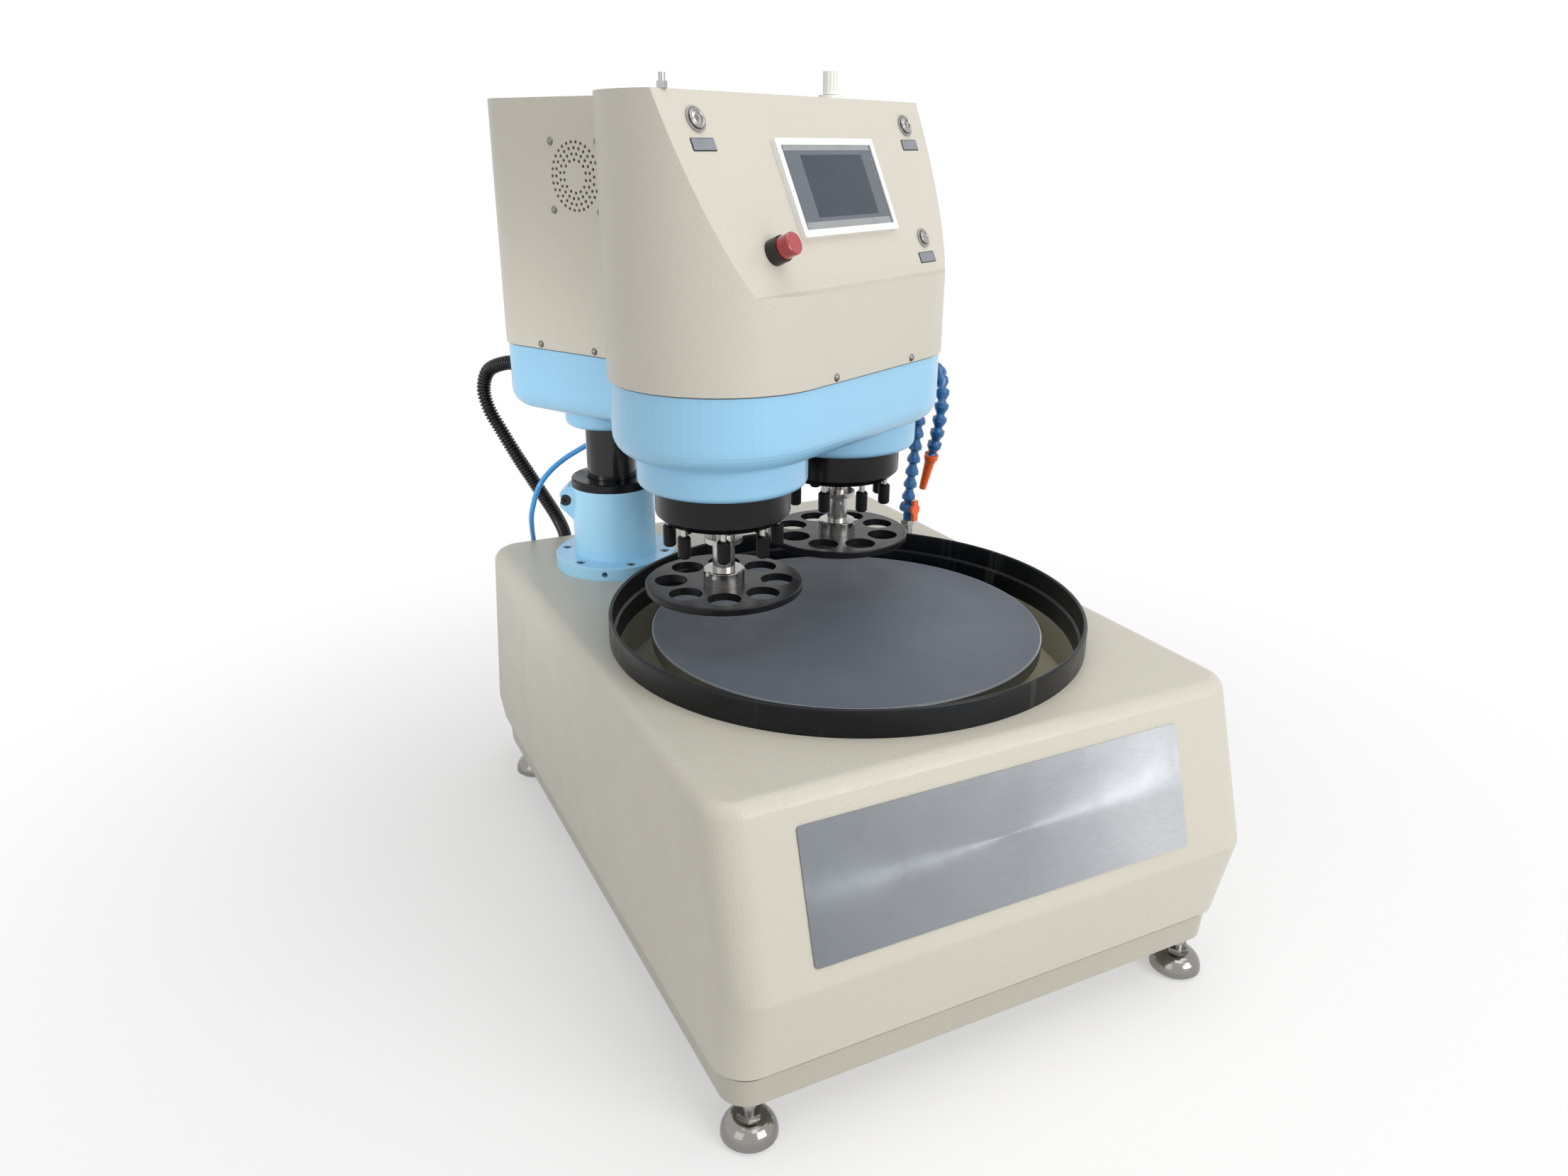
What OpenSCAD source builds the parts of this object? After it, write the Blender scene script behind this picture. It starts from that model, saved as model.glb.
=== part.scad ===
// Two-head metallographic polishing machine for a 380 mm platen.
// Origin on the floor at the middle of the base, X right, Y back, Z up, millimetres.
// A height is measured from the floor unless its comment says otherwise.

/* [Base housing] */
// Width of the base housing
base_w = 518; // [500:1:560]
// Height of the flat top
base_top_z = 303.6; // [296:0.1:320]
// Height of the seam between housing and plinth
seam_z = 77; // [70:1:84]
// Height of the front waist edge
front_waist_z = 159; // [140:1:175]
// Height of the rear waist edge
rear_waist_z = 93; // [88:1:120]
// Distance of the waist edges from the origin, front and rear
waist_y = 375; // [365:1:390]
// Run of the front slope from waist to top
front_slope_run = 46; // [30:1:55]
// Run of the rear slope from waist to top
rear_slope_run = 48; // [30:1:55]
// Run of the front tuck from waist to seam
front_tuck_run = 17; // [10:1:24]
// Run of the rear tuck from waist to seam
rear_tuck_run = 25; // [18:1:27]
// Plan radius of the upright corners
base_corner_r = 32; // [24:1:40]
// Rounding of the top edge
base_edge_r = 15; // [8:1:20]
// Rounding of the waist edge
waist_edge_r = 10; // [4:1:14]
// Wall of the housing and the plinth
base_wall = 3; // [2:0.5:5]
// Height of the plinth's lower edge
plinth_z = 44; // [38:1:50]
// Inset of the plinth from the seam edge
plinth_inset = 5; // [4:0.5:8]

/* [Feet] */
// Distance of the feet from the middle, along X
foot_x = 229; // [215:1:232]
// Distance of the front feet from the middle, along Y
foot_front_y = 335; // [320:1:338]
// Distance of the rear feet from the middle, along Y
foot_rear_y = 309; // [290:1:318]
// Radius of a foot pad
foot_r = 24; // [18:1:28]
// Height of the domed pad
foot_pad_h = 21; // [15:1:25]
// Radius of the levelling stud
stud_r = 6; // [4:0.5:8]
// Width of the lock nut across flats
foot_nut_af = 19; // [16:1:24]
// Height of the lock nut
foot_nut_h = 7; // [5:0.5:9]

/* [Platen and bowl] */
// Distance of the platen axis in front of the origin
platen_back = -72; // [-80:1:-64]
// Radius of the platen
platen_r = 190; // [170:1:196]
// Height of the polishing surface
work_z = 309; // [306:0.5:316]
// Thickness of the abrasive sheet
sheet_t = 1; // [0.5:0.1:2]
// Thickness of the platen's rim
platen_t = 14; // [10:1:18]
// Outer radius of the splash ring
ring_r = 231; // [226:0.5:236]
// Height of the splash ring above the housing
ring_h = 25.4; // [18:0.2:34]
// Width of the splash ring's rim
ring_rim = 4; // [3:0.5:6]
// Depth of the bowl floor below the housing top
bowl_depth = 50; // [46:1:58]

/* [Column] */
// Distance of the column axis from the middle, along X
column_x = -141.5; // [-150:0.5:-132]
// Distance of the column axis from the middle, along Y
column_y = 207; // [200:0.5:214]
// Radius of the column flange
flange_r = 67; // [60:0.5:72]
// Height of the column flange
flange_h = 14.4; // [10:0.2:20]
// Radius of the column tube
tube_r = 45.4; // [40:0.2:48]
// Height of the column tube above the flange
tube_h = 77.4; // [60:0.2:84]
// Height of the black guide ring
guide_ring_h = 9.4; // [6:0.2:14]
// Radius of the lift ram
ram_r = 27; // [22:0.5:32]
// Radial running clearance of rams, shafts and plungers
run_gap = 0.05; // [0.02:0.01:0.1]

/* [Head] */
// Height of the casting's flat underside
head_z = 490; // [486:1:496]
// Height of the seam between casting and cover
head_seam_z = 557; // [545:1:570]
// Height of the flat top of the cover
head_top_z = 786.5; // [770:0.5:800]
// Half distance between the two spindles
spindle_x = 95; // [90:0.5:98]
// Distance from the spindle line to the column axis
head_reach = 237; // [228:0.5:245]
// Radius of the round ends of the front bar
head_r = 100; // [94:0.5:104]
// Half width of the rear box
rear_half_w = 97; // [85:0.5:99]
// Distance from the spindle line to the rear end
rear_end = 312; // [300:0.5:325]
// Plan radius of the rear corners
rear_corner_r = 50; // [36:1:60]
// Rounding of the casting's lower edge
casting_edge_r = 20; // [16:1:26]
// Wall of the casting
casting_wall = 8; // [6:0.5:10]
// Wall of the sheet cover
cover_wall = 2; // [1.5:0.5:3]
// Overlap of the cover past the casting, per side
cover_overlap = 2; // [1:0.5:3]
// Height of the ledge below the sloped panel
ledge_z = 634.6; // [625:0.2:645]
// Depth of the ledge
ledge_depth = 17; // [10:0.5:24]
// Run of the sloped panel from ledge to top
panel_run = 66.5; // [50:0.5:76]

/* [Spindles] */
// Radius of the boss under the casting
boss_r = 78; // [70:0.5:84]
// Height of the boss under the casting
boss_h = 29.5; // [26:0.5:34]
// Radius of the pressure pot
pot_r = 62.5; // [58:0.5:68]
// Height of the pressure pot
pot_h = 33.5; // [28:0.5:40]
// Radius of the drive shaft below the pot
shaft_r = 10.5; // [8:0.5:12]
// Radius of the shaft flange under the pot
shaft_flange_r = 18; // [16:0.5:22]
// Depth of the shaft flange below the pot
shaft_flange_h = 24; // [18:0.5:28]
// Radius of the holder hub
hub_r = 19.3; // [16:0.1:24]
// Height of the holder hub
hub_h = 12.5; // [8:0.5:16]
// Radius of the specimen holder
holder_r = 74.2; // [70:0.2:76]
// Thickness of the specimen holder
holder_t = 7.2; // [5:0.2:10]
// Height of the holder's underside
holder_z = 356.3; // [350:0.1:362]
// Radius of a specimen hole
specimen_r = 15.5; // [12:0.25:16]
// Radius of the circle of specimen holes
specimen_ring_r = 50; // [47:0.5:53]
// Specimen holes in a holder and plungers in a pot
specimen_count = 8; // [4:1:8]
// Radius of a plunger's sleeve
sleeve_r = 6; // [4.5:0.25:7]
// Length of a plunger's sleeve
sleeve_h = 21; // [16:0.5:24]
// Radius of a plunger's stem
stem_r = 3; // [2:0.25:4]
// Travel of the plungers
plunger_travel = 20; // [10:1:20]

/* [Coolant hose] */
// Pitch of the hose links
link_pitch = 15; // [13:0.5:17]
// Radius of the widest part of a link
link_r = 7.9; // [7:0.1:9]
// Bore radius of the links
link_bore_r = 3.2; // [2:0.1:3.6]
// Links in the rising, the bent and the falling stretch
link_counts = [8, 9, 3]; // [2:1:9]
// Length of the nozzle
nozzle_l = 44; // [34:1:54]

/* [Hidden] */
$fn = 64;
// Overrun of every cut past the face that it opens
over = 1;
// Running gap between faces that turn on each other
face_gap = 0.5;
// Seating clearance of fitted pieces
seat_gap = 0.1;
// Widest gap at a soft piece's end
soft_gap = 0.3;

// Side profile of the housing in Y and Z, from the front seam corner
base_profile = [
  [-waist_y + front_tuck_run, seam_z], [waist_y - rear_tuck_run, seam_z],
  [waist_y, rear_waist_z], [waist_y - rear_slope_run, base_top_z],
  [-waist_y + front_slope_run, base_top_z], [-waist_y, front_waist_z]];
// Rounding of each corner of that profile
base_rounds = [0, 0, waist_edge_r, base_edge_r, base_edge_r, waist_edge_r];
front_tilt = atan(front_slope_run / (base_top_z - front_waist_z));
rear_tilt = atan(rear_slope_run / (base_top_z - rear_waist_z));

// Taper of the plinth from the seam down to its edge
plinth_taper = 2;
// Width and thickness of the plinth's turned-in lower flange
plinth_flange = [42, 3];
// Thickness of the frame's floor plate and deck plate
floor_plate_t = 8;
deck_t = 10;
// Width, length and middle along Y of the deck plate
deck_size = [484, 590];
deck_y = -10;
// Square posts: side and wall, middles along X and Y
post = [32, 3];
post_at = [216, 268];
// Shelf under the bearing housing: height, thickness, plan size
shelf = [150, 10];
shelf_size = [420, 560];

// Radius of the pad's neck, height of its hexagon and of its lip
pad_neck_r = 9;
pad_hex_h = 5;
foot_lip = 4;

// Bare plate on the front slope: size, middle along X and Z, corner radius
plate_size = [371, 110, 1.2];
plate_x = -5;
plate_z = 227.5;
plate_corner_r = 3;

// Radius of the opening in the housing top that takes the bowl
bowl_r = 226;
// Wall of the bowl
bowl_wall = 3;
// Fall of the bowl floor from the middle to the rim
bowl_fall = 6;
// Outer radius and height of the bowl's middle collar
collar = [44, 22];
// Splash ring's spigot: inner radii, depth, height of its ledge
spigot_r = [224.5, 223];
spigot_depth = 14.6;
ring_ledge_h = 5.4;
// Drain hole: radius, distance, bearing, length of its spout
drain = [11, 204];
drain_angle = -62;
drain_l = 60;
// Drain line: height, outer radius and length outside the rear slope
drain_z = 178;
drain_pipe_r = 13;
drain_stub = 17;

// Radius and height of the platen's hub
platen_hub = [62, 11];
// Drip skirt under the platen: radii, height and step from the hub
drip_r = [50, 54];
drip_h = 14;
platen_hub_step = 24;
// Radius of the shaft and of its nose in the platen
platen_shaft_r = 15;
// Depth of the shaft nose in the platen
shaft_nose_h = 8;
// Radius and height of the shaft's seat flange
shaft_seat = [34, 8];
// Outer radius and width of the platen bearings
bearing = [26, 15];
// Outer radius of the bearing housing
housing_r = 36;
// Radius and height of the bearing housing's flange
housing_flange = [66, 12];
// Pitch radius and width of the platen pulley
platen_pulley_size = [72, 20];
// Pitch radius of the motor pulley
motor_pulley_r = 30;
// Height of the belt's lower edge
belt_z = 112;
// Width and thickness of the belt
belt = [14, 4];
// Radial width and height of a pulley's lip
pulley_lip = [3, 2];
// Place of the motor in X and Y
motor_at = [10, 236];
// Side and height of the motor's body
motor_size = [104, 116];
// Radius of the motor shaft
motor_shaft_r = 9;

// Bearing of the radial set screw in the column flange
set_screw_angle = -119.5;
// Flange screws: number, circle, bearing of the first
flange_screw_count = 6;
flange_screw_ring_r = 56;
flange_screw_angle = 28.5;
// Radii of a screw head and of its counterbore, its depth
flange_screw_r = [4.5, 5.2];
flange_bore_h = 6;
// Height of a screw head and radius of its shank
flange_screw_size = [5, 3];
// Inner radius of the column tube
tube_bore_r = 38;
// Depth of the column tube below the housing top
tube_depth = 90;
// Bearing of the clamp lug
lug_angle = 154;
// Reach of the lug past the tube, its thickness and its height
lug_size = [12, 26, 31];
// Drop of the lug's top below the tube's top
lug_drop = 1;
// Radius of the screw head and of the hole in the lug
lug_screw_r = [5.5, 6.5];
// Guide ring: radius, and depth of its spigot in the tube
guide_ring_r = 45;
guide_spigot_h = 60;
// Ram: depth below the guide ring, height above the casting's underside, wall
ram_depth = 130;
ram_top_h = 46;
ram_wall = 7;

// Boss round the ram: radius, depth below the casting
ram_boss = [47, 26];
// Radius and height of the inner boss round the ram
ram_socket_r = 40;
// Thickness of the bottom of the casting
casting_floor = 9;
// Radius of the round lower edge of a boss
boss_edge_r = 6;
// Outer radius, bore radius and width of the spindle bearings
head_bearing = [22, 10.5, 12];
// Height of a bearing seat above the casting floor
bearing_seat_h = 16;
// Radius of the spindle's upper journal
journal_r = 9;
// Height of the spindle's top above the casting's underside
journal_top_h = 52;
// Spindle motor: radius and height, height of its plate above the underside
head_motor = [33, 96];
motor_plate_h = 56;

// Height of the cover screws above the seam
cover_screw_z = 4.5;
// Radius, height and shank of a dome screw
dome_screw = [3.6, 2.6, 1.8];
// Cover screws: front ones along X, side ones along Y
front_screw_x = [-61, 64];
side_screw_y = [155, 229];
// Place of the fan on the left side, along the head's Y and Z
fan_y = 168;
fan_z = 719;
// Half spacing of the fan's screws
fan_screw_half = 30;
// Side, depth and bore radius of the fan
fan_size = [68, 22, 31];
// Grille: radii of its rings, holes in each, and radius of a hole
grille_rings = [14.3, 19.4, 24.5, 29.6];
grille_holes = [14, 20, 24, 30];
grille_hole_r = 1.5;
// Control board: size, distance from the cover, radius of a stand-off
board_size = [150, 120, 1.6];
board_standoff = 8;
standoff_r = 3;
// Its middle along Y and Z, height of its parts
board_at = [195, 650];
board_part_h = 12;

// Tilt of the panel from upright
panel_tilt = atan(panel_run / (head_top_z - ledge_z));
// Middle and size of the screen, along the panel
screen_at = [7.5, 84.6];
screen_size = [149, 84.4];
// Height of the bezel on the panel, and its rim
bezel = [5, 6];
// Screen's body: depth behind the panel and inset from the bezel
screen_body = 26;
screen_inset = 6;
// Glass: distance below the bezel's face, and thickness
glass_drop = 1;
glass_t = 1.5;
// Places of the two steel buttons along the panel
left_button_at = [-153.7, 142.4];
right_button_at = [156.8, 142];
// Place of the lit button along the panel
lit_button_at = [126.4, 32.2];
// Radius of the ring and of the cap of a steel button
button_r = [10.3, 8];
// Radius of the ring and of the cap of the lit button
lit_button_r = [9, 6.2];
// Height of a button's ring and of its cap over the panel
button_h = [1.8, 2.8];
// Depth of a button's body behind the panel
button_body = 20;
// Travel of a button
button_travel = 2;
// Running clearance of a button's cap
cap_gap = 0.1;
// Places of the bare label plates along the panel
label_at = [[-153.2, 122.7], [155.8, 123], [124.2, 13.8]];
// Size of a label plate
label_size = [27, 9, 0.8];
// Place of the lamp along the panel
lamp_at = [-110.2, 34];
// Radius and height of the lamp's collar
lamp_collar_size = [11, 11];
// Radius and height of the lamp's lens
lamp_lens_size = [9.6, 12];

// Place of the pressure regulator on the head's top
regulator_at = [86, 13];
// Radius and height of its nut, neck and knob
regulator_nut = [11, 4];
regulator_neck = [4.5, 6];
knob_size = [6.8, 20];
// Flutes of the knob and radius of a flute
knob_flutes = 12;
flute_r = 0.9;
// Small port on the head: place, hexagon, collar
port_at = [-178, -15];
port_hex = [3.6, 5];
port_collar = [2.6, 6];

// Radius and height of the joint line on the pot
pot_foot = [62, 8.5];
// Radius of the pot's lower face
pot_low_r = 55;
// Depth of a raised plunger's stem in the pot
stem_depth = plunger_travel + 11;
// Gap between the sleeve's top and the pot
sleeve_drop = 7.2;
// Radius and depth of the hole in the shaft
shaft_screw = [2.5, 4];
// Shaft: height and bearing of its hole, thickness of its flange
shaft_slot_h = 21;
shaft_hole_angle = -136;
shaft_flange_t = 5;
// Radius of a set screw in the hub
hub_screw_r = 2.5;
// Chamfer of the holder's edge
holder_chamfer = 1;

// Coolant riser: place on the housing top, radius and height, its hexagon
coolant_at = [201.9, 134.1];
coolant_neck = [6.5, 17];
coolant_hex = [15, 6];
// Valve: radius, height, radius and half length of its barrel, height of the barrel
valve_size = [5.2, 22];
valve_barrel = [6.3, 8];
valve_bore_h = 14.5;
// Lever: radius and bearing of its stem, radius of its disc, thickness
lever_stem_r = 3.5;
lever_angle = -75;
lever_disc = [6.5, 4];
// Its blade: reach above and below the stem, and width
lever_blade = [11, 14, 7];
// Direction in which the hose bends over
hose_angle = 250.6;
// Lean of the hose's plane from upright
hose_lean = 6.7;
// Slope of the rising stretch and turn of each bent link
hose_rise = 95.9;
hose_turn = 20;
// Angle by which a socket grips past the middle of its ball
link_grip = 20;
// Ball radius and neck radius of a link
link_ball_r = 6.2;
link_neck_r = 4.6;
// Radial gap between a ball and its socket
link_gap = 0.15;
// Radius of the nozzle at its root and at its tip
nozzle_r = [7.2, 4];

// Radius of the conduit over its ribs and between them
conduit_r = [7.9, 6.6];
// Bore radius of the conduit
conduit_bore_r = 5.6;
// Pitch of the conduit's ribs
rib_pitch = 3.8;
// Radius of the air tube, and sides of all the cords
air_r = 3;
cord_sides = 8;
// Radius of a gland and of its socket
gland_r = [12.5, 8.4];
// Depth of the socket in a gland
gland_socket = 10;
// Length of a gland
gland_l = 18;
// Air fittings: radius, radius of the elbow's pipe, depth of the socket
elbow_r = 6;
air_elbow_pipe_r = 4.5;
air_socket = 6;
// Socket radius of the air elbow
elbow_socket_r = 3.3;
// Route of the conduit from the base to the split, then to the head
conduit_lower_route = [[-158, 357, 247], [-158, 357, 268], [-162, 345, 297], [-174, 332, 325],
  [-190, 327, 355], [-206, 326, 385]];
conduit_upper_route = [[-206.2, 326, 385.4], [-218, 325.3, 407.4], [-232, 329, 437], [-243, 333, 462],
  [-247, 335, 486], [-241, 328, 508], [-226, 304, 519], [-217, 287, 519], [-209, 271, 519]];
// Route of the air tube from the base to the split, then to the head
air_lower_route = [[-200, 346, 262], [-200, 346, 278], [-205, 330, 303], [-211, 308, 325],
  [-214, 292, 345], [-210, 287, 365]];
air_upper_route = [[-209.9, 286.9, 365.6], [-206.9, 283.1, 380.8], [-189, 284, 396], [-172, 283, 409],
  [-150, 277, 422], [-128, 268, 435], [-113, 261, 450], [-105.6, 257.7, 468],
  [-105.6, 257.7, 476], [-105.6, 257.7, 483]];

// Elbow: drop of its pipe, pipe radius, length inside
elbow_drop = 12;
elbow_pipe_r = 9;
elbow_tail = 10;
// Power inlet: middle in X and Z, size, lip, depth of its socket
inlet_at = [120, 200];
inlet_size = [47, 27];
inlet_lip = 3;
inlet_depth = 18;
// Chamfer of platen, pot and valve edges
platen_chamfer = 1;
// Inset of the sheet from the platen's edge
sheet_inset = 0.8;
// Length of the platen shaft below the belt
shaft_tail = 6;
// Corner radius and thickness of the motor's flange
motor_fin_r = 8;
motor_flange_t = 10;
// Chamfer of the column flange and of the guide ring
flange_chamfer = 1;
guide_chamfer = 1.5;
// Depth of the clamp screw's counterbore
lug_screw_sink = 8;
// Place of the gland on the casting's rear face
gland_x = -31;
gland_z = 519;
// Share of a gland's radius that passes the wall
gland_pipe_share = 0.8;
// Step of the gland's hexagon past its barrel
gland_hex_step = 2.5;
// Place and height of the air port under the casting
air_port_at = [55, 266];
air_port_h = 12;
// Step of the spindle motor, width of its ears and radius of its pillars
motor_step = 4;
motor_ear = 8;
motor_pillar_r = 4;
// Fan: corner and hub radius, width and thickness of a spoke
fan_corner_r = 5;
fan_hub_r = 13;
fan_spoke = [5, 3];
// Its blades: number, thickness and width, tilt, gap at the tips
fan_blades = 7;
fan_blade = [1.4, 14];
fan_blade_tilt = 40;
fan_tip_gap = 1.5;
// Lip of a button's ring and depth of its cap
button_lip = 2;
cap_depth = 8;
// Radius of the lamp's stem and of its lens's edge
lamp_stem_r = 8;
lens_edge_r = 1.5;
// Depth of the regulator below the cover
regulator_depth = 20;
// Height of the plain skirt of the knob
knob_skirt = 3;
// Chamfer of a plunger's sleeve
sleeve_chamfer = 1.6;
// Turn of each pot and its holder, left and right
pot_turn = [-5.5, 18];
// Gap between the lever and the valve
lever_gap = 1;
// Distance from the valve to the centre of the first ball
link_start = 5;
// Turn of each link of the falling stretch
hose_settle = 8;
// Height of a link's rim above the ball's centre
link_step = 3;
// Bore radius of the nozzle's tip
nozzle_bore_r = 2.4;

base_color = [0.78, 0.76, 0.71];
casting_color = [0.6, 0.81, 0.93];
steel_color = [0.75, 0.76, 0.77];
black_color = [0.08, 0.08, 0.09];
dark_steel_color = [0.35, 0.36, 0.38];

platen_z = work_z - sheet_t - platen_t;
valve_z = base_top_z + coolant_hex[1] + coolant_neck[1];
drain_exit_x = drain[1] * cos(drain_angle);
drain_y = platen_back + drain[1] * sin(drain_angle);
hub_low_z = platen_z - platen_hub[1];
bowl_z = base_top_z - bowl_depth;
shelf_z = shelf[0] + shelf[1];
deck_z = base_top_z - base_wall;
flange_z = base_top_z + flange_h;
tube_top_z = flange_z + tube_h;
guide_ring_z = tube_top_z + guide_ring_h;
head_angle = atan2(-column_x, column_y - platen_back);
boss_z = head_z - boss_h;
boss_floor_z = boss_z + casting_floor;
pot_z = boss_z - face_gap;
pot_low_z = pot_z - pot_h;
shaft_z = pot_low_z - shaft_flange_h;
holder_top_z = holder_z + holder_t;
hub_top_z = holder_top_z + hub_h;
seam_y = (base_profile[0][0] + base_profile[1][0]) / 2;
seam_size = [base_w, base_profile[1][0] - base_profile[0][0]];
link_count = link_counts[0] + link_counts[1] + link_counts[2];
socket_r = link_ball_r + link_gap;
neck_slope = -acos(link_neck_r / link_ball_r);
casting_r = head_r - cover_overlap;
casting_half_w = rear_half_w - cover_overlap;
casting_rear = rear_end - cover_overlap;
cavity_z = head_z + casting_floor;
bearing_seat_z = cavity_z + bearing_seat_h;
panel_low_y = -head_r + ledge_depth;

function unit(v) = v / norm(v);

// Outward normal of the edge from a to b of a profile
function edge_normal(a, b) = let (d = unit(b - a)) [d[1], -d[0]];

// Corner i of a profile, moved inwards
function inner_corner(profile, i, inset) =
  let (
    n = len(profile),
    before = edge_normal(profile[(i + n - 1) % n], profile[i]),
    after = edge_normal(profile[i], profile[(i + 1) % n])
  )
  profile[i] - inset * (before + after) / (1 + before * after);

// Points of an arc about a centre
function arc(centre, r, from, to, steps) =
  [for (i = [0:steps]) let (a = from + (to - from) * i / steps) centre + r * [cos(a), sin(a)]];

// Y of the rear slope at height z
function rear_y(z) = waist_y - rear_slope_run * (z - rear_waist_z) / (base_top_z - rear_waist_z);

// Point of a smooth curve through points, at t of stretch i
function on_curve(p, i, t) =
  let (
    n = len(p) - 1,
    a = p[max(i - 1, 0)],
    b = p[i],
    c = p[i + 1],
    d = p[min(i + 2, n)],
    m = (c - a) / 2,
    k = (d - b) / 2
  )
  (2 * pow(t, 3) - 3 * pow(t, 2) + 1) * b + (pow(t, 3) - 2 * pow(t, 2) + t) * m
  + (3 * pow(t, 2) - 2 * pow(t, 3)) * c + (pow(t, 3) - pow(t, 2)) * k;

// Fine points of the curve through a route
function curve(route, steps) =
  [for (i = [0:len(route) - 2]) for (s = [0:steps - 1]) on_curve(route, i, s / steps),
    route[len(route) - 1]];

// Length of a list of points up to each point
function run_lengths(p, i = 1, sums = [0]) =
  i == len(p) ? sums : run_lengths(p, i + 1, concat(sums, [sums[i - 1] + norm(p[i] - p[i - 1])]));

// Point at a length along a list of points
function at_length(p, sums, s, i = 1) =
  i == len(p) - 1 || sums[i] >= s
    ? let (t = (s - sums[i - 1]) / (sums[i] - sums[i - 1])) p[i - 1] + t * (p[i] - p[i - 1])
    : at_length(p, sums, s, i + 1);

// Points at even lengths along the curve through a route
function even_path(route, n) =
  let (fine = curve(route, 12), sums = run_lengths(fine))
  [for (i = [0:n]) at_length(fine, sums, sums[len(sums) - 1] * i / n)];

// Ring of points about a point, square to a direction
function ring(centre, dir, r) =
  let (side = unit(cross(dir, [1, 0, 0])), up = cross(side, dir))
  [for (k = [0:cord_sides - 1]) let (a = 360 * k / cord_sides) centre + r * (cos(a) * side + sin(a) * up)];

// Triangles that join two rings of points
function band(a, b) = [for (k = [0:cord_sides - 1]) let (j = (k + 1) % cord_sides)
  each [[a + k, b + k, b + j], [a + k, b + j, a + j]]];

// Direction of a list of points at point i
function run_dir(p, i) = unit(p[min(i + 1, len(p) - 1)] - p[max(i - 1, 0)]);

// Plain tube along a route
module tube_along(route, rings) {
  path = even_path(route, rings);
  points = [for (i = [0:rings]) each ring(path[i], run_dir(path, i), air_r)];
  last = rings * cord_sides;
  ends = [for (k = [1:cord_sides - 2]) each [[0, k + 1, k], [last, last + k, last + k + 1]]];
  skin = [for (i = [0:rings - 1]) each band((i + 1) * cord_sides, i * cord_sides)];
  polyhedron(points = points, faces = concat(ends, skin));
}

// Ribbed hose with a bore along a route
module ribbed_along(route) {
  length = run_lengths(curve(route, 12));
  ribs = floor(length[len(length) - 1] / rib_pitch);
  rings = 2 * ribs;
  bores = ceil(ribs / 2);
  path = even_path(route, rings);
  core = even_path(route, bores);
  outer = [for (i = [0:rings]) each ring(path[i], run_dir(path, i), conduit_r[(i + 1) % 2])];
  inner = [for (i = [0:bores]) each
    ring(core[i], i == 0 || i == bores ? run_dir(path, i == 0 ? 0 : rings) : run_dir(core, i),
      conduit_bore_r)];
  base = len(outer);
  skin = [for (i = [0:rings - 1]) each band((i + 1) * cord_sides, i * cord_sides)];
  bore = [for (i = [0:bores - 1]) each band(base + i * cord_sides, base + (i + 1) * cord_sides)];
  ends = concat(band(0, base), band(base + bores * cord_sides, rings * cord_sides));
  polyhedron(points = concat(outer, inner), faces = concat(skin, bore, ends));
}

// Places its children on the head, from between the spindles
module at_head() {
  translate([column_x, column_y, 0]) rotate(head_angle) translate([0, -head_reach, 0]) children();
}

// Places its children on the sloped panel: x along it, y up it, z outwards
module at_panel(place) {
  at_head() translate([0, panel_low_y, ledge_z]) rotate([90 - panel_tilt, 0, 0])
    translate([place[0], place[1]]) children();
}

// Places its children at spindle k, in the turn of its pot
module at_spindle(k) {
  at_head() translate([(2 * k - 1) * spindle_x, 0, 0]) rotate(pot_turn[k]) children();
}

// Repeats its children at both spindles
module at_spindles() {
  at_head() for (side = [-1, 1]) translate([side * spindle_x, 0, 0]) children();
}

// Places its children on the platen's axis
module at_platen() {
  translate([0, platen_back, 0]) children();
}

// Places its children on the column's axis
module at_column() {
  translate([column_x, column_y, 0]) children();
}

// Repeats its children at the feet
module at_feet() {
  for (side = [-1, 1], y = [-foot_front_y, foot_rear_y]) translate([side * foot_x, y, 0]) children();
}

// Ring-shaped piece from one height to another
module hollow(outer, inner, low, high) {
  translate([0, 0, low]) difference() {
    cylinder(r = outer, h = high - low);
    translate([0, 0, -over]) cylinder(r = inner, h = high - low + 2 * over);
  }
}

// Round piece from one height to another
module rod(r, low, high) {
  translate([0, 0, low]) cylinder(r = r, h = high - low);
}

// Hexagonal piece
module hexagon(across, low, high) {
  translate([0, 0, low]) cylinder(r = across / sqrt(3), h = high - low, $fn = 6);
}

// Plate with rounded corners, centred, from one height to another
module plate(size, r, low, high) {
  translate([0, 0, low]) linear_extrude(height = high - low) {
    square([size[0] - 2 * r, size[1]], center = true);
    square([size[0], size[1] - 2 * r], center = true);
    for (sx = [-1, 1], sy = [-1, 1])
      translate([sx * (size[0] / 2 - r), sy * (size[1] / 2 - r)]) circle(r);
  }
}

// Form of the housing, inset by a wall
module base_form(inset) {
  hull()
    for (side = [-1, 1]) {
      for (i = [2:5])
        let (c = inner_corner(base_profile, i, base_rounds[i]), in = c[0] < 0 ? 1 : -1)
          translate([side * (base_w / 2 - base_corner_r),
              c[0] + in * (base_corner_r - base_rounds[i]), c[1]])
            rotate_extrude($fn = 48) translate([base_corner_r - base_rounds[i], 0])
              circle(base_rounds[i] - inset, $fn = 32);
      for (i = [0:1]) let (y = base_profile[i][0], in = y < 0 ? 1 : -1, low = inset > 0 ? over : 0)
        translate([side * (base_w / 2 - base_corner_r), y + in * base_corner_r, seam_z - low])
          cylinder(r = base_corner_r - inset, h = over + low, $fn = 48);
    }
}

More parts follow.
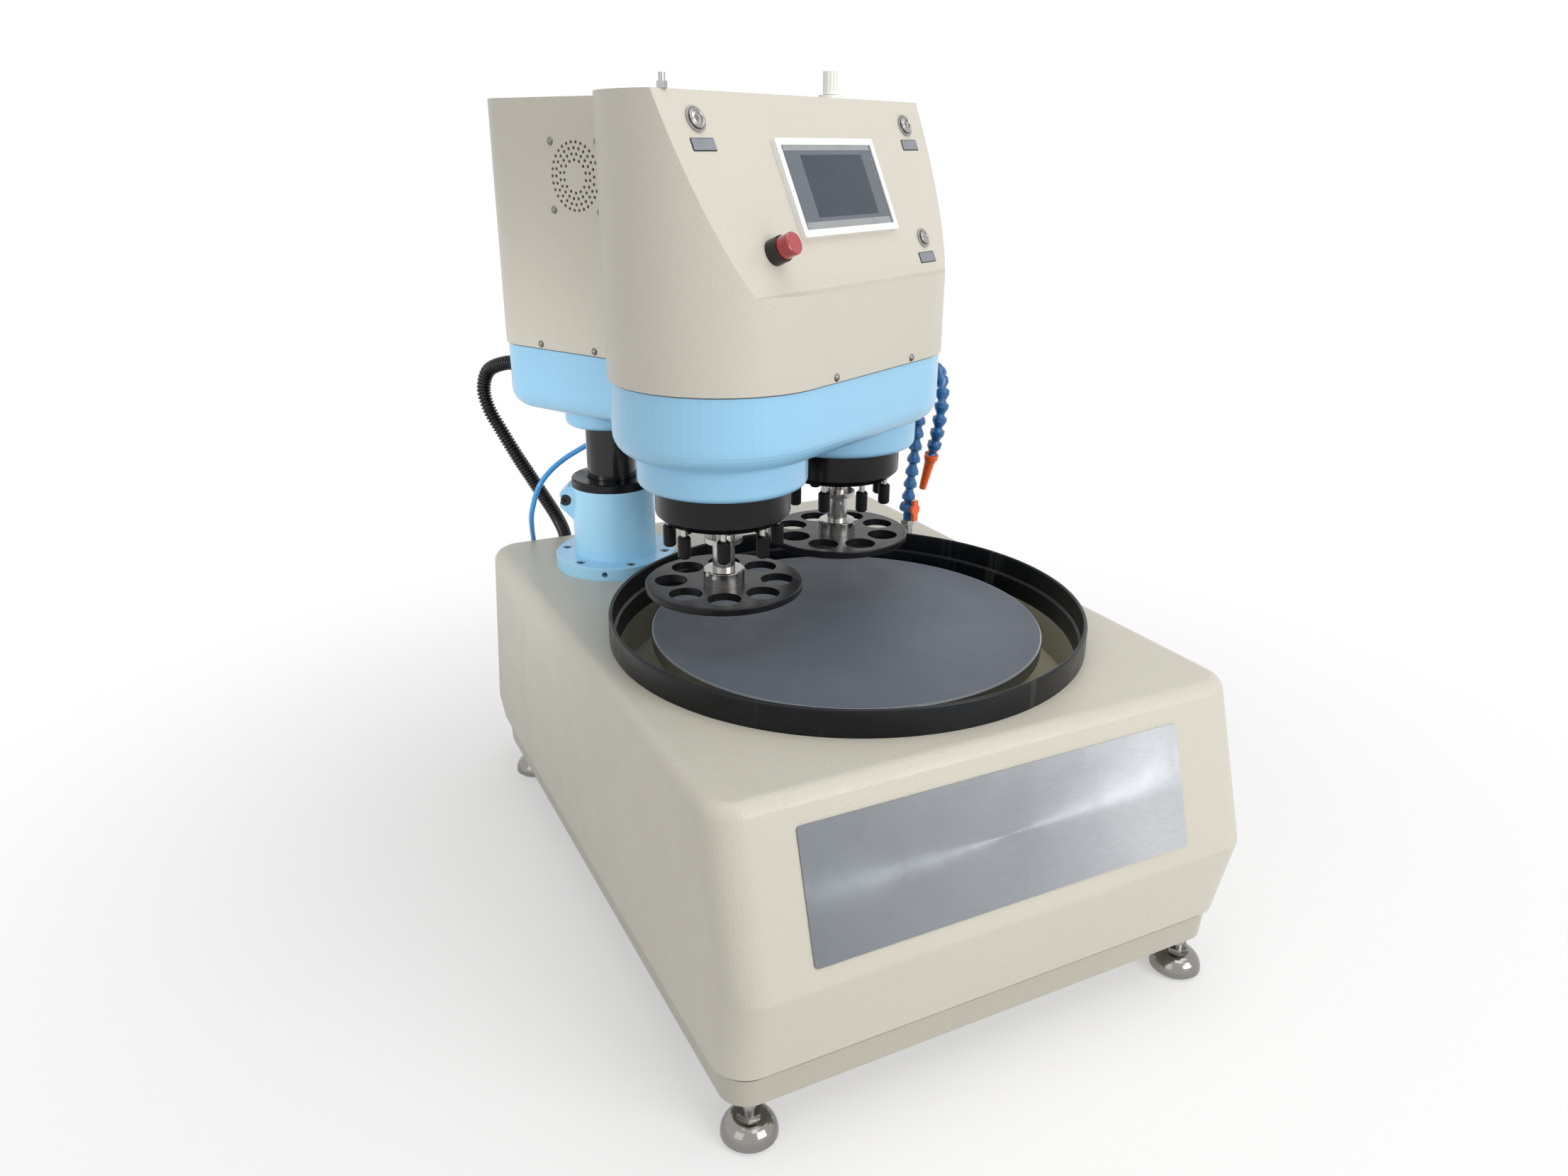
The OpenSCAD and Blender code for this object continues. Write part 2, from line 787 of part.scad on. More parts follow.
// Form of the plinth, inset by a wall
module plinth_form(inset) {
  low = inset > 0 ? over : 0;
  r = base_corner_r - plinth_inset;
  hull()
    for (side = [-1, 1], i = [0:1]) let (y = base_profile[i][0], in = y < 0 ? 1 : -1) {
      translate([side * (base_w / 2 - base_corner_r), y + in * base_corner_r, seam_z - over])
        cylinder(r = r - inset, h = over + low, $fn = 48);
      translate([side * (base_w / 2 - base_corner_r), y + in * base_corner_r, plinth_z - low])
        cylinder(r = r - plinth_taper - inset, h = over + low, $fn = 48);
    }
}

module base_cover() {
  color(base_color) difference() {
    base_form(0);
    base_form(base_wall);
    at_platen() rod(bowl_r, bowl_z, base_top_z + over);
    at_column() rod(tube_r + seat_gap, deck_z - over, base_top_z + over);
    translate(coolant_at) rod(coolant_neck[0] + seat_gap, deck_z - over, base_top_z + over);
    rear_holes();
  }
}

// Holes in the rear slope for what passes through it
module rear_holes() {
  gland_hole(conduit_lower_route[0], elbow_pipe_r);
  gland_hole(air_lower_route[0], air_elbow_pipe_r);
  translate([drain_exit_x, rear_y(drain_z), drain_z])
    rotate([90, 0, 0]) cylinder(r = drain_pipe_r + seat_gap, h = 2 * base_edge_r, center = true);
  translate([inlet_at[0], rear_y(inlet_at[1]), inlet_at[1]]) rotate([-rear_tilt, 0, 0])
    cube([inlet_size[0], 2 * base_edge_r, inlet_size[1]] + 2 * seat_gap * [1, 0, 1], center = true);
}

// Hole for an elbow in the rear slope
module gland_hole(place, r) {
  translate([place[0], rear_y(place[2]), place[2] - elbow_drop])
    rotate([90, 0, 0]) cylinder(r = r + seat_gap, h = 2 * base_edge_r, center = true);
}

module base_plinth() {
  color(base_color) difference() {
    plinth_form(0);
    difference() {
      plinth_form(base_wall);
      plate([base_w, 2 * waist_y], base_corner_r, plinth_z - 2 * over, plinth_z + plinth_flange[1]);
    }
    translate([0, seam_y, 0]) plate(seam_size - 2 * plinth_flange[0] * [1, 1],
      base_corner_r, plinth_z - over, plinth_z + 2 * plinth_flange[1]);
    at_feet() rod(stud_r + seat_gap, plinth_z - over, plinth_z + 2 * plinth_flange[1]);
  }
}

module base_frame() {
  floor_z = plinth_z + plinth_flange[1];
  floor_inset = plinth_inset + plinth_taper + base_wall + seat_gap;
  color(dark_steel_color) difference() {
    union() {
      translate([0, seam_y, 0]) plate(seam_size - 2 * floor_inset * [1, 1],
        base_corner_r - floor_inset, floor_z, floor_z + floor_plate_t);
      translate([0, deck_y, 0]) plate(deck_size, base_corner_r, deck_z - deck_t, deck_z);
      plate(shelf_size, base_corner_r, shelf[0], shelf_z);
      for (sx = [-1, 1], sy = [-1, 1]) translate([sx * post_at[0], sy * post_at[1], floor_z])
        linear_extrude(height = deck_z - floor_z) difference() {
          square(post[0], center = true);
          square(post[0] - 2 * post[1], center = true);
        }
    }
    at_platen() rod(bowl_r + seat_gap, deck_z - deck_t - over, deck_z + over);
    at_platen() rod(platen_shaft_r + over, shelf[0] - over, shelf_z + over);
    at_column() rod(tube_r + seat_gap, deck_z - deck_t - over, deck_z + over);
    translate(coolant_at)
      rod(coolant_neck[0] + seat_gap, deck_z - deck_t - over, deck_z + over);
    translate(motor_at) rod(motor_shaft_r + over, shelf[0] - over, shelf_z + over);
    at_feet() rod(stud_r, floor_z - over, floor_z + floor_plate_t + over);
  }
}

module foot_pads() {
  color(steel_color) at_feet() {
    rotate_extrude() polygon(concat([[0, 0], [foot_r - foot_lip, 0], [foot_r, foot_lip]],
      [for (i = [0:10]) let (a = 90 * i / 10)
        [pad_neck_r + (foot_r - pad_neck_r) * cos(a),
          foot_lip + (foot_pad_h - foot_lip) * sin(a)]],
      [[0, foot_pad_h]]));
    hexagon(foot_nut_af, foot_pad_h, foot_pad_h + pad_hex_h);
  }
}

module foot_studs() {
  color(steel_color) at_feet()
    rod(stud_r, foot_pad_h + pad_hex_h, plinth_z + plinth_flange[1] + floor_plate_t);
}

module foot_nuts() {
  color(steel_color) at_feet() difference() {
    hexagon(foot_nut_af, plinth_z - foot_nut_h, plinth_z);
    rod(stud_r, plinth_z - foot_nut_h - over, plinth_z + over);
  }
}

module name_plate() {
  run = front_slope_run * (plate_z - front_waist_z) / (base_top_z - front_waist_z);
  color(steel_color) translate([plate_x, -waist_y + run, plate_z]) rotate([90 - front_tilt, 0, 0])
    plate(plate_size, plate_corner_r, 0, plate_size[2]);
}

module drain_bowl() {
  rim_z = base_top_z - spigot_depth;
  color(base_color) difference() {
    union() {
      at_platen() rotate_extrude($fn = 96)
        polygon([[collar[0] - bowl_wall, bowl_z], [bowl_r - seat_gap, bowl_z - bowl_fall],
          [bowl_r - seat_gap, rim_z], [bowl_r - bowl_wall, rim_z],
          [bowl_r - bowl_wall, bowl_z - bowl_fall + bowl_wall], [collar[0], bowl_z + bowl_wall],
          [collar[0], bowl_z + collar[1]], [collar[0] - bowl_wall, bowl_z + collar[1]]]);
      translate([drain_exit_x, drain_y, 0])
        rod(drain[0] + bowl_wall, bowl_z - drain_l, bowl_z);
    }
    translate([drain_exit_x, drain_y, 0])
      rod(drain[0], bowl_z - drain_l - over, bowl_z + over);
  }
}

module splash_ring() {
  top_z = base_top_z + ring_h;
  lip_r = ring_rim / 2;
  color(black_color) at_platen() rotate_extrude($fn = 96) polygon(concat(
    [[spigot_r[1], base_top_z - spigot_depth], [bowl_r - seat_gap, base_top_z - spigot_depth],
      [bowl_r - seat_gap, base_top_z], [ring_r, base_top_z]],
    arc([ring_r - lip_r, top_z - lip_r], lip_r, 0, 180, 8),
    [[ring_r - ring_rim, base_top_z + ring_ledge_h],
      [spigot_r[0], base_top_z + ring_ledge_h - ring_rim / 2]]));
}

module platen() {
  color(steel_color) at_platen() rotate_extrude($fn = 96)
    polygon([[0, hub_low_z + shaft_nose_h], [platen_shaft_r, hub_low_z + shaft_nose_h],
      [platen_shaft_r, hub_low_z], [platen_hub[0] - platen_chamfer, hub_low_z],
      [platen_hub[0], hub_low_z + platen_chamfer], [platen_hub[0], platen_z],
      [drip_r[0] + platen_hub_step, platen_z], [drip_r[0] + platen_hub_step, platen_z - drip_h],
      [drip_r[1] + platen_hub_step, platen_z - drip_h], [drip_r[1] + platen_hub_step, platen_z],
      [platen_r - platen_chamfer, platen_z], [platen_r, platen_z + platen_chamfer],
      [platen_r, platen_z + platen_t], [0, platen_z + platen_t]]);
}

module abrasive_sheet() {
  color([0.3, 0.34, 0.38]) at_platen() rod(platen_r - sheet_inset, work_z - sheet_t, work_z);
}

module platen_shaft() {
  color(steel_color) at_platen() {
    rod(platen_shaft_r, belt_z - shaft_tail, hub_low_z + shaft_nose_h);
    hollow(shaft_seat[0], platen_shaft_r, hub_low_z - shaft_seat[1], hub_low_z);
  }
}

module bearing_housing() {
  top_z = hub_low_z - shaft_seat[1] - face_gap;
  color(dark_steel_color) at_platen() difference() {
    union() {
      rod(housing_r, shelf_z, top_z);
      rod(housing_flange[0], shelf_z, shelf_z + housing_flange[1]);
    }
    rod(platen_shaft_r + over, shelf_z - over, top_z + over);
    rod(bearing[0], top_z - bearing[1], top_z + over);
    rod(bearing[0], shelf_z - over, shelf_z + bearing[1]);
  }
}

module platen_bearings() {
  top_z = hub_low_z - shaft_seat[1] - face_gap;
  color(steel_color) at_platen() for (low = [shelf_z, top_z - bearing[1]])
    hollow(bearing[0], platen_shaft_r + run_gap, low, low + bearing[1]);
}

// Flanged belt pulley, from its lower lip up
module pulley(r, bore) {
  low = belt_z - pulley_lip[1] - face_gap;
  high = belt_z + belt[0] + pulley_lip[1] + face_gap;
  difference() {
    union() {
      rod(r, low, high);
      rod(r + pulley_lip[0], low, low + pulley_lip[1]);
      rod(r + pulley_lip[0], high - pulley_lip[1], high);
    }
    rod(bore, low - over, high + over);
  }
}

module platen_pulley() {
  color(dark_steel_color) at_platen() pulley(platen_pulley_size[0], platen_shaft_r);
}

module motor_pulley() {
  color(dark_steel_color) translate(motor_at) {
    pulley(motor_pulley_r, motor_shaft_r);
    rod(motor_shaft_r, belt_z - pulley_lip[1] - face_gap, shelf_z - face_gap);
  }
}

module platen_motor() {
  color(black_color) translate(motor_at) translate([0, 0, shelf_z]) {
    plate([motor_size[0], motor_size[0]], motor_fin_r, 0, motor_flange_t);
    rod(motor_size[0] / 2 - motor_fin_r / 2, motor_flange_t, motor_size[1] - motor_flange_t);
    rod(motor_size[0] / 2 - motor_fin_r, motor_size[1] - motor_flange_t, motor_size[1]);
  }
}

module drive_belt() {
  color(black_color) translate([0, 0, belt_z]) linear_extrude(height = belt[0]) difference() {
    belt_line(soft_gap + belt[1]);
    belt_line(soft_gap);
  }
}

// Outline round both pulleys at a distance
module belt_line(gap) {
  hull() {
    translate([0, platen_back]) circle(platen_pulley_size[0] + gap, $fn = 96);
    translate(motor_at) circle(motor_pulley_r + gap, $fn = 48);
  }
}

module base_fittings() {
  color(black_color) elbow(conduit_lower_route[0], elbow_pipe_r, gland_r, gland_socket);
  color("royalblue") elbow(air_lower_route[0], air_elbow_pipe_r, [elbow_r, elbow_socket_r], air_socket);
  color(black_color) translate([inlet_at[0], rear_y(inlet_at[1]), inlet_at[1]])
    rotate([90 - rear_tilt, 0, 180]) difference() {
      union() {
        plate(inlet_size + 2 * inlet_lip * [1, 1], inlet_lip, 0, inlet_lip);
        plate(inlet_size, inlet_lip, -inlet_size[1], inlet_lip);
      }
      plate(inlet_size - 2 * inlet_lip * [1, 1], inlet_lip, -inlet_depth, inlet_lip + over);
    }
  color(black_color) drain_line();
  color(steel_color) translate([coolant_at[0], coolant_at[1], base_top_z]) {
    hexagon(coolant_hex[0], coolant_neck[1], coolant_neck[1] + coolant_hex[1]);
    rod(coolant_neck[0], -base_wall - 2 * deck_t, coolant_neck[1]);
  }
}

// Drain line from the bowl's spout to the rear
module drain_line() {
  low = bowl_z - drain_l;
  end = rear_y(drain_z) + drain_stub;
  translate([drain_exit_x, drain_y, drain_z]) difference() {
    union() {
      rod(drain[0] + bowl_wall, -drain_pipe_r - over, low - drain_z);
      rotate([-90, 0, 0]) cylinder(r = drain_pipe_r, h = end - drain_y);
    }
    rod(drain[0], -drain_pipe_r + 2 * bowl_wall, low - drain_z + over);
    rotate([-90, 0, 0]) cylinder(r = drain_pipe_r - bowl_wall, h = end - drain_y + over);
  }
}

// Elbow that carries a line straight up from the rear slope
module elbow(place, pipe, socket, depth) {
  pipe_z = place[2] - elbow_drop;
  mouth_z = place[2] - soft_gap;
  translate([place[0], place[1]]) difference() {
    union() {
      rod(socket[0], pipe_z - pipe - over, mouth_z + depth);
      translate([0, 0, pipe_z])
        rotate([90, 0, 0]) cylinder(r = pipe, h = place[1] - rear_y(pipe_z) + elbow_tail);
    }
    rod(socket[1], mouth_z, mouth_z + depth + over);
  }
}

module column_flange() {
  color(casting_color) at_column() difference() {
    rotate_extrude($fn = 96) polygon([[tube_r, base_top_z], [flange_r, base_top_z],
      [flange_r, flange_z - flange_chamfer], [flange_r - flange_chamfer, flange_z],
      [tube_r, flange_z]]);
    at_flange_screws() {
      rod(flange_screw_r[1], flange_z - flange_bore_h, flange_z + over);
      rod(flange_screw_size[1], base_top_z - over, flange_z);
    }
    rotate(set_screw_angle) translate([tube_r, 0, base_top_z + flange_h / 2])
      rotate([0, 90, 0]) cylinder(r = flange_screw_size[1], h = flange_r);
  }
}

module at_flange_screws() {
  for (i = [0:flange_screw_count - 1]) rotate(flange_screw_angle + 360 * i / flange_screw_count)
    translate([flange_screw_ring_r, 0, 0]) children();
}

// Places its children at the clamp screw: z along it
module at_clamp_screw() {
  at_column() rotate(lug_angle)
    translate([tube_r + lug_size[0] / 2, 0, tube_top_z - lug_drop - lug_size[2] / 2])
      rotate([-90, 0, 0]) children();
}

module column_tube() {
  color(casting_color) difference() {
    union() {
      at_column() rod(tube_r, base_top_z - tube_depth, tube_top_z);
      at_column() rotate(lug_angle) translate([0, lug_size[1] / 2, tube_top_z - lug_drop])
        rotate([90, 0, 0]) linear_extrude(height = lug_size[1])
          polygon([[tube_bore_r + over, 0], [tube_r + lug_size[0] / 3, 0],
            [tube_r + lug_size[0], -lug_size[2] / 4],
            [tube_r + lug_size[0], -lug_size[2] * 3 / 4],
            [tube_r - lug_size[0] / 5, -lug_size[2] * 5 / 4],
            [tube_bore_r + over, -lug_size[2] * 5 / 4]]);
    }
    at_column() rod(tube_bore_r, base_top_z - tube_depth - over, tube_top_z + over);
    at_clamp_screw() {
      translate([0, 0, lug_size[1] / 2 - lug_screw_sink])
        cylinder(r = lug_screw_r[1], h = lug_screw_sink + over);
      cylinder(r = lug_screw_r[0] / 2, h = lug_size[1], center = true);
    }
  }
}

module column_screws() {
  color(black_color) {
    at_column() at_flange_screws() difference() {
      union() {
        rod(flange_screw_r[0], flange_z - flange_bore_h,
          flange_z - flange_bore_h + flange_screw_size[0]);
        rod(flange_screw_size[1] - seat_gap, base_top_z, flange_z - flange_bore_h);
      }
      hexagon(flange_screw_r[0], flange_z - flange_bore_h + flange_screw_size[0] / 2, flange_z);
    }
    at_clamp_screw() difference() {
      union() {
        translate([0, 0, lug_size[1] / 2 - lug_screw_sink])
          cylinder(r = lug_screw_r[0], h = lug_screw_sink - over);
        translate([0, 0, -lug_size[1] / 2])
          cylinder(r = lug_screw_r[0] / 2 - seat_gap, h = lug_size[1] - lug_screw_sink);
      }
      translate([0, 0, lug_size[1] / 2 - lug_screw_sink / 2])
        cylinder(r = lug_screw_r[0] / 2, h = lug_screw_sink, $fn = 6);
    }
  }
}

module column_guide_ring() {
  color(black_color) at_column() rotate_extrude($fn = 96)
    polygon([[ram_r + run_gap, tube_top_z - guide_spigot_h], [tube_bore_r, tube_top_z - guide_spigot_h],
      [tube_bore_r, tube_top_z], [guide_ring_r, tube_top_z],
      [guide_ring_r, guide_ring_z - guide_chamfer], [guide_ring_r - guide_chamfer, guide_ring_z],
      [ram_r + guide_chamfer, guide_ring_z], [ram_r + run_gap, guide_ring_z - guide_chamfer]]);
}

module lift_ram() {
  color(black_color) at_column() difference() {
    rod(ram_r, guide_ring_z - ram_depth, head_z + ram_top_h);
    rod(ram_r - ram_wall, guide_ring_z - ram_depth - over, head_z + ram_top_h - ram_wall);
  }
}

// Slab with a rounded lower edge over round corners at given places
module soft_slab(places, r, edge_r, low, high) {
  hull()
    for (place = places) translate([place[0], place[1]]) rotate_extrude($fn = 72)
      polygon(concat([[0, low]], arc([r - edge_r, low + edge_r], edge_r, -90, 0, 8),
        [[r, high], [0, high]]));
}

module head_casting() {
  bar = [[-spindle_x, 0], [spindle_x, 0]];
  corner = rear_corner_r - cover_overlap;
  rear = [for (side = [-1, 1], y = [0, casting_rear - corner]) [side * (casting_half_w - corner), y]];
  cavity_r = casting_edge_r - casting_wall;
  color(casting_color) at_head() difference() {
    union() {
      difference() {
        union() {
          soft_slab(bar, casting_r, casting_edge_r, head_z, head_seam_z);
          soft_slab(rear, corner, casting_edge_r, head_z, head_seam_z);
        }
        soft_slab(bar, casting_r - casting_wall, cavity_r, cavity_z, head_seam_z + over);
        soft_slab(rear, corner - casting_wall, cavity_r, cavity_z, head_seam_z + over);
      }
      for (side = [-1, 1]) translate([side * spindle_x, 0, 0]) {
        rotate_extrude($fn = 96) polygon(concat([[0, boss_z]],
          arc([boss_r - boss_edge_r, boss_z + boss_edge_r], boss_edge_r, -90, 0, 5),
          [[boss_r, cavity_z], [0, cavity_z]]));
        rod(head_bearing[0] + casting_wall, cavity_z - over, bearing_seat_z);
      }
      translate([0, head_reach, 0]) {
        rotate_extrude($fn = 96) polygon(concat([[0, head_z - ram_boss[1]]],
          arc([ram_boss[0] - boss_edge_r, head_z - ram_boss[1] + boss_edge_r],
            boss_edge_r, -90, 0, 5),
          [[ram_boss[0], cavity_z], [0, cavity_z]]));
        rod(ram_socket_r, cavity_z - over, head_z + ram_top_h + casting_wall);
      }
    }
    for (side = [-1, 1]) translate([side * spindle_x, 0, 0]) {
      rod(journal_r + over, boss_z - over, bearing_seat_z + over);
      hollow(boss_r - casting_wall, head_bearing[0] + casting_wall, boss_floor_z, cavity_z + over);
      rod(head_bearing[0], bearing_seat_z - head_bearing[2], bearing_seat_z + over);
      rod(head_bearing[0], boss_z - over, boss_z + head_bearing[2]);
    }
    translate([0, head_reach, 0])
      rod(ram_r + run_gap, head_z - ram_boss[1] - over, head_z + ram_top_h + seat_gap);
    translate([gland_x, casting_rear, gland_z])
      rotate([90, 0, 0]) cylinder(r = gland_r[0] * gland_pipe_share, h = 2 * casting_wall, center = true);
  }
}

// Plan outline of the head cover, inset by a wall
module head_outline(inset) {
  corner = rear_corner_r - inset;
  for (side = [-1, 1]) translate([side * spindle_x, 0]) circle(head_r - inset, $fn = 128);
  square([2 * spindle_x, 2 * (head_r - inset)], center = true);
  translate([-rear_half_w + inset, 0]) square([2 * (rear_half_w - inset), rear_end - rear_corner_r]);
  for (side = [-1, 1])
    translate([side * (rear_half_w - rear_corner_r), rear_end - rear_corner_r]) circle(corner);
  translate([-rear_half_w + rear_corner_r, rear_end - rear_corner_r])
    square([2 * (rear_half_w - rear_corner_r), corner]);
}

// Space in front of the sloped panel, moved back by an inset
module panel_space(inset) {
  wide = 2 * (spindle_x + head_r);
  rise = (head_top_z - ledge_z) + over;
  slope = panel_run / (head_top_z - ledge_z);
  back = inset / cos(panel_tilt);
  translate([-wide / 2, 0, 0]) rotate([90, 0, 90]) linear_extrude(height = wide)
    polygon([[-2 * head_r, ledge_z - inset],
      [panel_low_y + back - inset * slope, ledge_z - inset],
      [panel_low_y + back + rise * slope, ledge_z + rise],
      [-2 * head_r, ledge_z + rise]]);
}

module head_cover() {
  color(base_color) difference() {
    at_head() difference() {
      translate([0, 0, head_seam_z])
        linear_extrude(height = head_top_z - head_seam_z) head_outline(0);
      panel_space(0);
      difference() {
        translate([0, 0, head_seam_z - over])
          linear_extrude(height = head_top_z - head_seam_z + over - cover_wall)
            head_outline(cover_wall);
        panel_space(cover_wall);
      }
      grille_cuts();
      translate(regulator_at)
        rod(regulator_neck[0], head_top_z - 2 * cover_wall, head_top_z + over);
      translate(port_at)
        rod(port_collar[0] / 2, head_top_z - 2 * cover_wall, head_top_z + over);
      at_cover_screws() cylinder(r = dome_screw[2] + seat_gap, h = 4 * cover_wall, center = true);
    }
    panel_cuts();
  }
}

// Holes in the sloped panel
module panel_cuts() {
  body = screen_size - 2 * screen_inset * [1, 1];
  at_panel(screen_at)
    cube([body[0] + 2 * seat_gap, body[1] + 2 * seat_gap, 4 * cover_wall], center = true);
  stem_r = button_stem_r(button_r);
  for (hole = [[left_button_at, stem_r], [right_button_at, stem_r],
      [lit_button_at, button_stem_r(lit_button_r)], [lamp_at, lamp_stem_r]])
    at_panel(hole[0]) cylinder(r = hole[1] + seat_gap, h = 4 * cover_wall, center = true);
}

// Fan grille in the left side
module grille_cuts() {
  translate([-rear_half_w, fan_y, fan_z]) rotate([0, 90, 0])
    for (k = [0:len(grille_rings) - 1], i = [0:grille_holes[k] - 1])
      rotate(360 * (i + (k % 2) / 2) / grille_holes[k]) translate([grille_rings[k], 0, 0])
        cylinder(r = grille_hole_r, h = 4 * cover_wall, center = true, $fn = 16);
}

// Repeats its children at the cover screws, z outwards
module at_cover_screws() {
  z = head_seam_z + cover_screw_z;
  for (x = front_screw_x) translate([x, -head_r, z]) rotate([90, 0, 0]) children();
  for (side = [-1, 1], y = side_screw_y)
    translate([side * rear_half_w, y, z]) rotate([0, side * 90, 0]) children();
  for (sy = [-1, 1], sz = [-1, 1])
    translate([-rear_half_w, fan_y + sy * fan_screw_half, fan_z + sz * fan_screw_half])
      rotate([0, -90, 0]) children();
}

module cover_screws() {
  r = dome_screw[0];
  h = dome_screw[1];
  ball = (r * r + h * h) / (2 * h);
  color(steel_color) at_head() at_cover_screws() {
    rotate_extrude($fn = 32)
      polygon(concat([[0, 0]], arc([0, h - ball], ball, 90 - asin(r / ball), 90, 6)));
    translate([0, 0, -2 * cover_wall]) cylinder(r = dome_screw[2], h = 2 * cover_wall);
  }
}

module spindle_motors() {
  low = head_z + motor_plate_h;
  color(black_color) at_spindles() {
    rod(head_motor[0], low, low + head_motor[1] / 2);
    rod(head_motor[0] - motor_step, low + head_motor[1] / 2, low + head_motor[1]);
    for (side = [-1, 1]) translate([side * (head_motor[0] + motor_ear), 0, 0])
      rod(motor_pillar_r, boss_floor_z, low + motor_ear);
    difference() {
      plate([2 * (head_motor[0] + 2 * motor_ear), 2 * motor_ear], motor_ear / 2,
        low - motor_ear / 2, low + motor_ear / 2);
      rod(journal_r + over, low - motor_ear, low);
    }
  }
}

module spindle_bearings() {
  color(steel_color) at_spindles() for (low = [boss_z, bearing_seat_z - head_bearing[2]])
    hollow(head_bearing[0], journal_r + run_gap, low, low + head_bearing[2]);
}

module control_board() {
  color("darkgreen") at_head() translate([rear_half_w - cover_wall, board_at[0], board_at[1]])
    rotate([0, -90, 0]) {
      translate([0, 0, board_standoff]) linear_extrude(height = board_size[2])
        square([board_size[0], board_size[1]], center = true);
      for (sx = [-1, 1], sy = [-1, 1]) translate([sx * (board_size[0] / 2 - 2 * standoff_r),
          sy * (board_size[1] / 2 - 2 * standoff_r), 0])
        cylinder(r = standoff_r, h = board_standoff);
      translate([0, 0, board_standoff + board_size[2]]) linear_extrude(height = board_part_h) {
        translate([board_size[0] / 5, 0]) square(board_size[1] / 3, center = true);
        translate([-board_size[0] / 4, board_size[1] / 5])
          square([board_size[0] / 4, board_size[1] / 4], center = true);
      }
    }
}

// Places its children at the fan, z inwards
module at_fan() {
  at_head() translate([-rear_half_w + cover_wall, fan_y, fan_z]) rotate([0, 90, 0]) children();
}

module fan_frame() {
  color(black_color) at_fan() {
    difference() {
      plate([fan_size[0], fan_size[0]], fan_corner_r, 0, fan_size[1]);
      rod(fan_size[2], -over, fan_size[1] + over);
      for (sx = [-1, 1], sy = [-1, 1]) translate([sx * fan_screw_half, sy * fan_screw_half, 0])
        rod(dome_screw[2] + seat_gap, -over, fan_size[1] + over);
    }
    translate([0, 0, fan_size[1] - fan_spoke[1]]) {
      cylinder(r = fan_hub_r, h = fan_spoke[1]);
      for (a = [0, 90, 180, 270])
        rotate(a) translate([0, -fan_spoke[0] / 2, 0])
          cube([fan_size[2] + over, fan_spoke[0], fan_spoke[1]]);
    }
  }
}

module fan_rotor() {
  deep = fan_size[1] - fan_spoke[1] - face_gap;
  color(black_color) at_fan() {
    translate([0, 0, face_gap]) cylinder(r = fan_hub_r, h = deep - face_gap);
    for (i = [0:fan_blades - 1]) rotate(360 * i / fan_blades)
      translate([fan_hub_r - over, 0, deep / 2]) rotate([fan_blade_tilt, 0, 0])
        translate([0, -fan_blade[0] / 2, -fan_blade[1] / 2])
          cube([fan_size[2] - fan_tip_gap - fan_hub_r + over, fan_blade[0], fan_blade[1]]);
  }
}

module screen_bezel() {
  body = screen_size - 2 * screen_inset * [1, 1];
  window = screen_size - 2 * bezel[1] * [1, 1];
  color([0.9, 0.9, 0.88]) at_panel(screen_at) difference() {
    union() {
      plate(screen_size, bezel[1] / 3, 0, bezel[0]);
      plate(body, bezel[1] / 3, -screen_body, 0);
    }
    plate(window, bezel[1] / 6, bezel[0] - glass_drop - glass_t, bezel[0] + over);
  }
}

module screen_glass() {
  window = screen_size - 2 * (bezel[1] + seat_gap) * [1, 1];
  color([0.3, 0.36, 0.42]) at_panel(screen_at)
    plate(window, bezel[1] / 6, bezel[0] - glass_drop - glass_t, bezel[0] - glass_drop);
}

function button_stem_r(size) = size[0] - button_lip;

// Fixed ring and body of a push button
module button_ring(size) {
  difference() {
    union() {
      cylinder(r = size[0], h = button_h[0]);
      translate([0, 0, -button_body]) cylinder(r = button_stem_r(size), h = button_body);
    }
    translate([0, 0, -button_travel - cap_depth]) cylinder(r = size[1] + cap_gap, h = 2 * button_body);
  }
}

// Moving cap of a push button
module button_cap(size) {
  translate([0, 0, -cap_depth + soft_gap])
    cylinder(r = size[1], h = cap_depth - soft_gap + button_h[1]);
}

module button_rings() {
  color(steel_color) {
    at_panel(left_button_at) button_ring(button_r);
    at_panel(right_button_at) button_ring(button_r);
    at_panel(lit_button_at) button_ring(lit_button_r);
  }
}

module button_left() color(steel_color) at_panel(left_button_at) button_cap(button_r);
module button_right() color(steel_color) at_panel(right_button_at) button_cap(button_r);
module button_lit() color(steel_color) at_panel(lit_button_at) button_cap(lit_button_r);

module label_plates() {
  color(steel_color)
    for (place = label_at) at_panel(place) plate(label_size, label_size[2], 0, label_size[2]);
}

module lamp_collar() {
  color(black_color) at_panel(lamp_at) {
    cylinder(r = lamp_collar_size[0], h = lamp_collar_size[1]);
    translate([0, 0, -button_body]) cylinder(r = lamp_stem_r, h = button_body);
  }
}

module lamp_lens() {
  h = lamp_lens_size[1];
  r = lamp_lens_size[0];
  color([0.75, 0.05, 0.1]) at_panel(lamp_at) translate([0, 0, lamp_collar_size[1]]) rotate_extrude()
    polygon(concat([[0, 0], [r, 0]], arc([r - lens_edge_r, h - lens_edge_r], lens_edge_r, 0, 90, 5),
      [[0, h]]));
}

module regulator_body() {
  color("white") at_head() translate([regulator_at[0], regulator_at[1], head_top_z]) {
    cylinder(r = regulator_nut[0], h = regulator_nut[1]);
    translate([0, 0, -regulator_depth])
      cylinder(r = regulator_neck[0] - seat_gap, h = regulator_depth + regulator_nut[1]);
  }
}

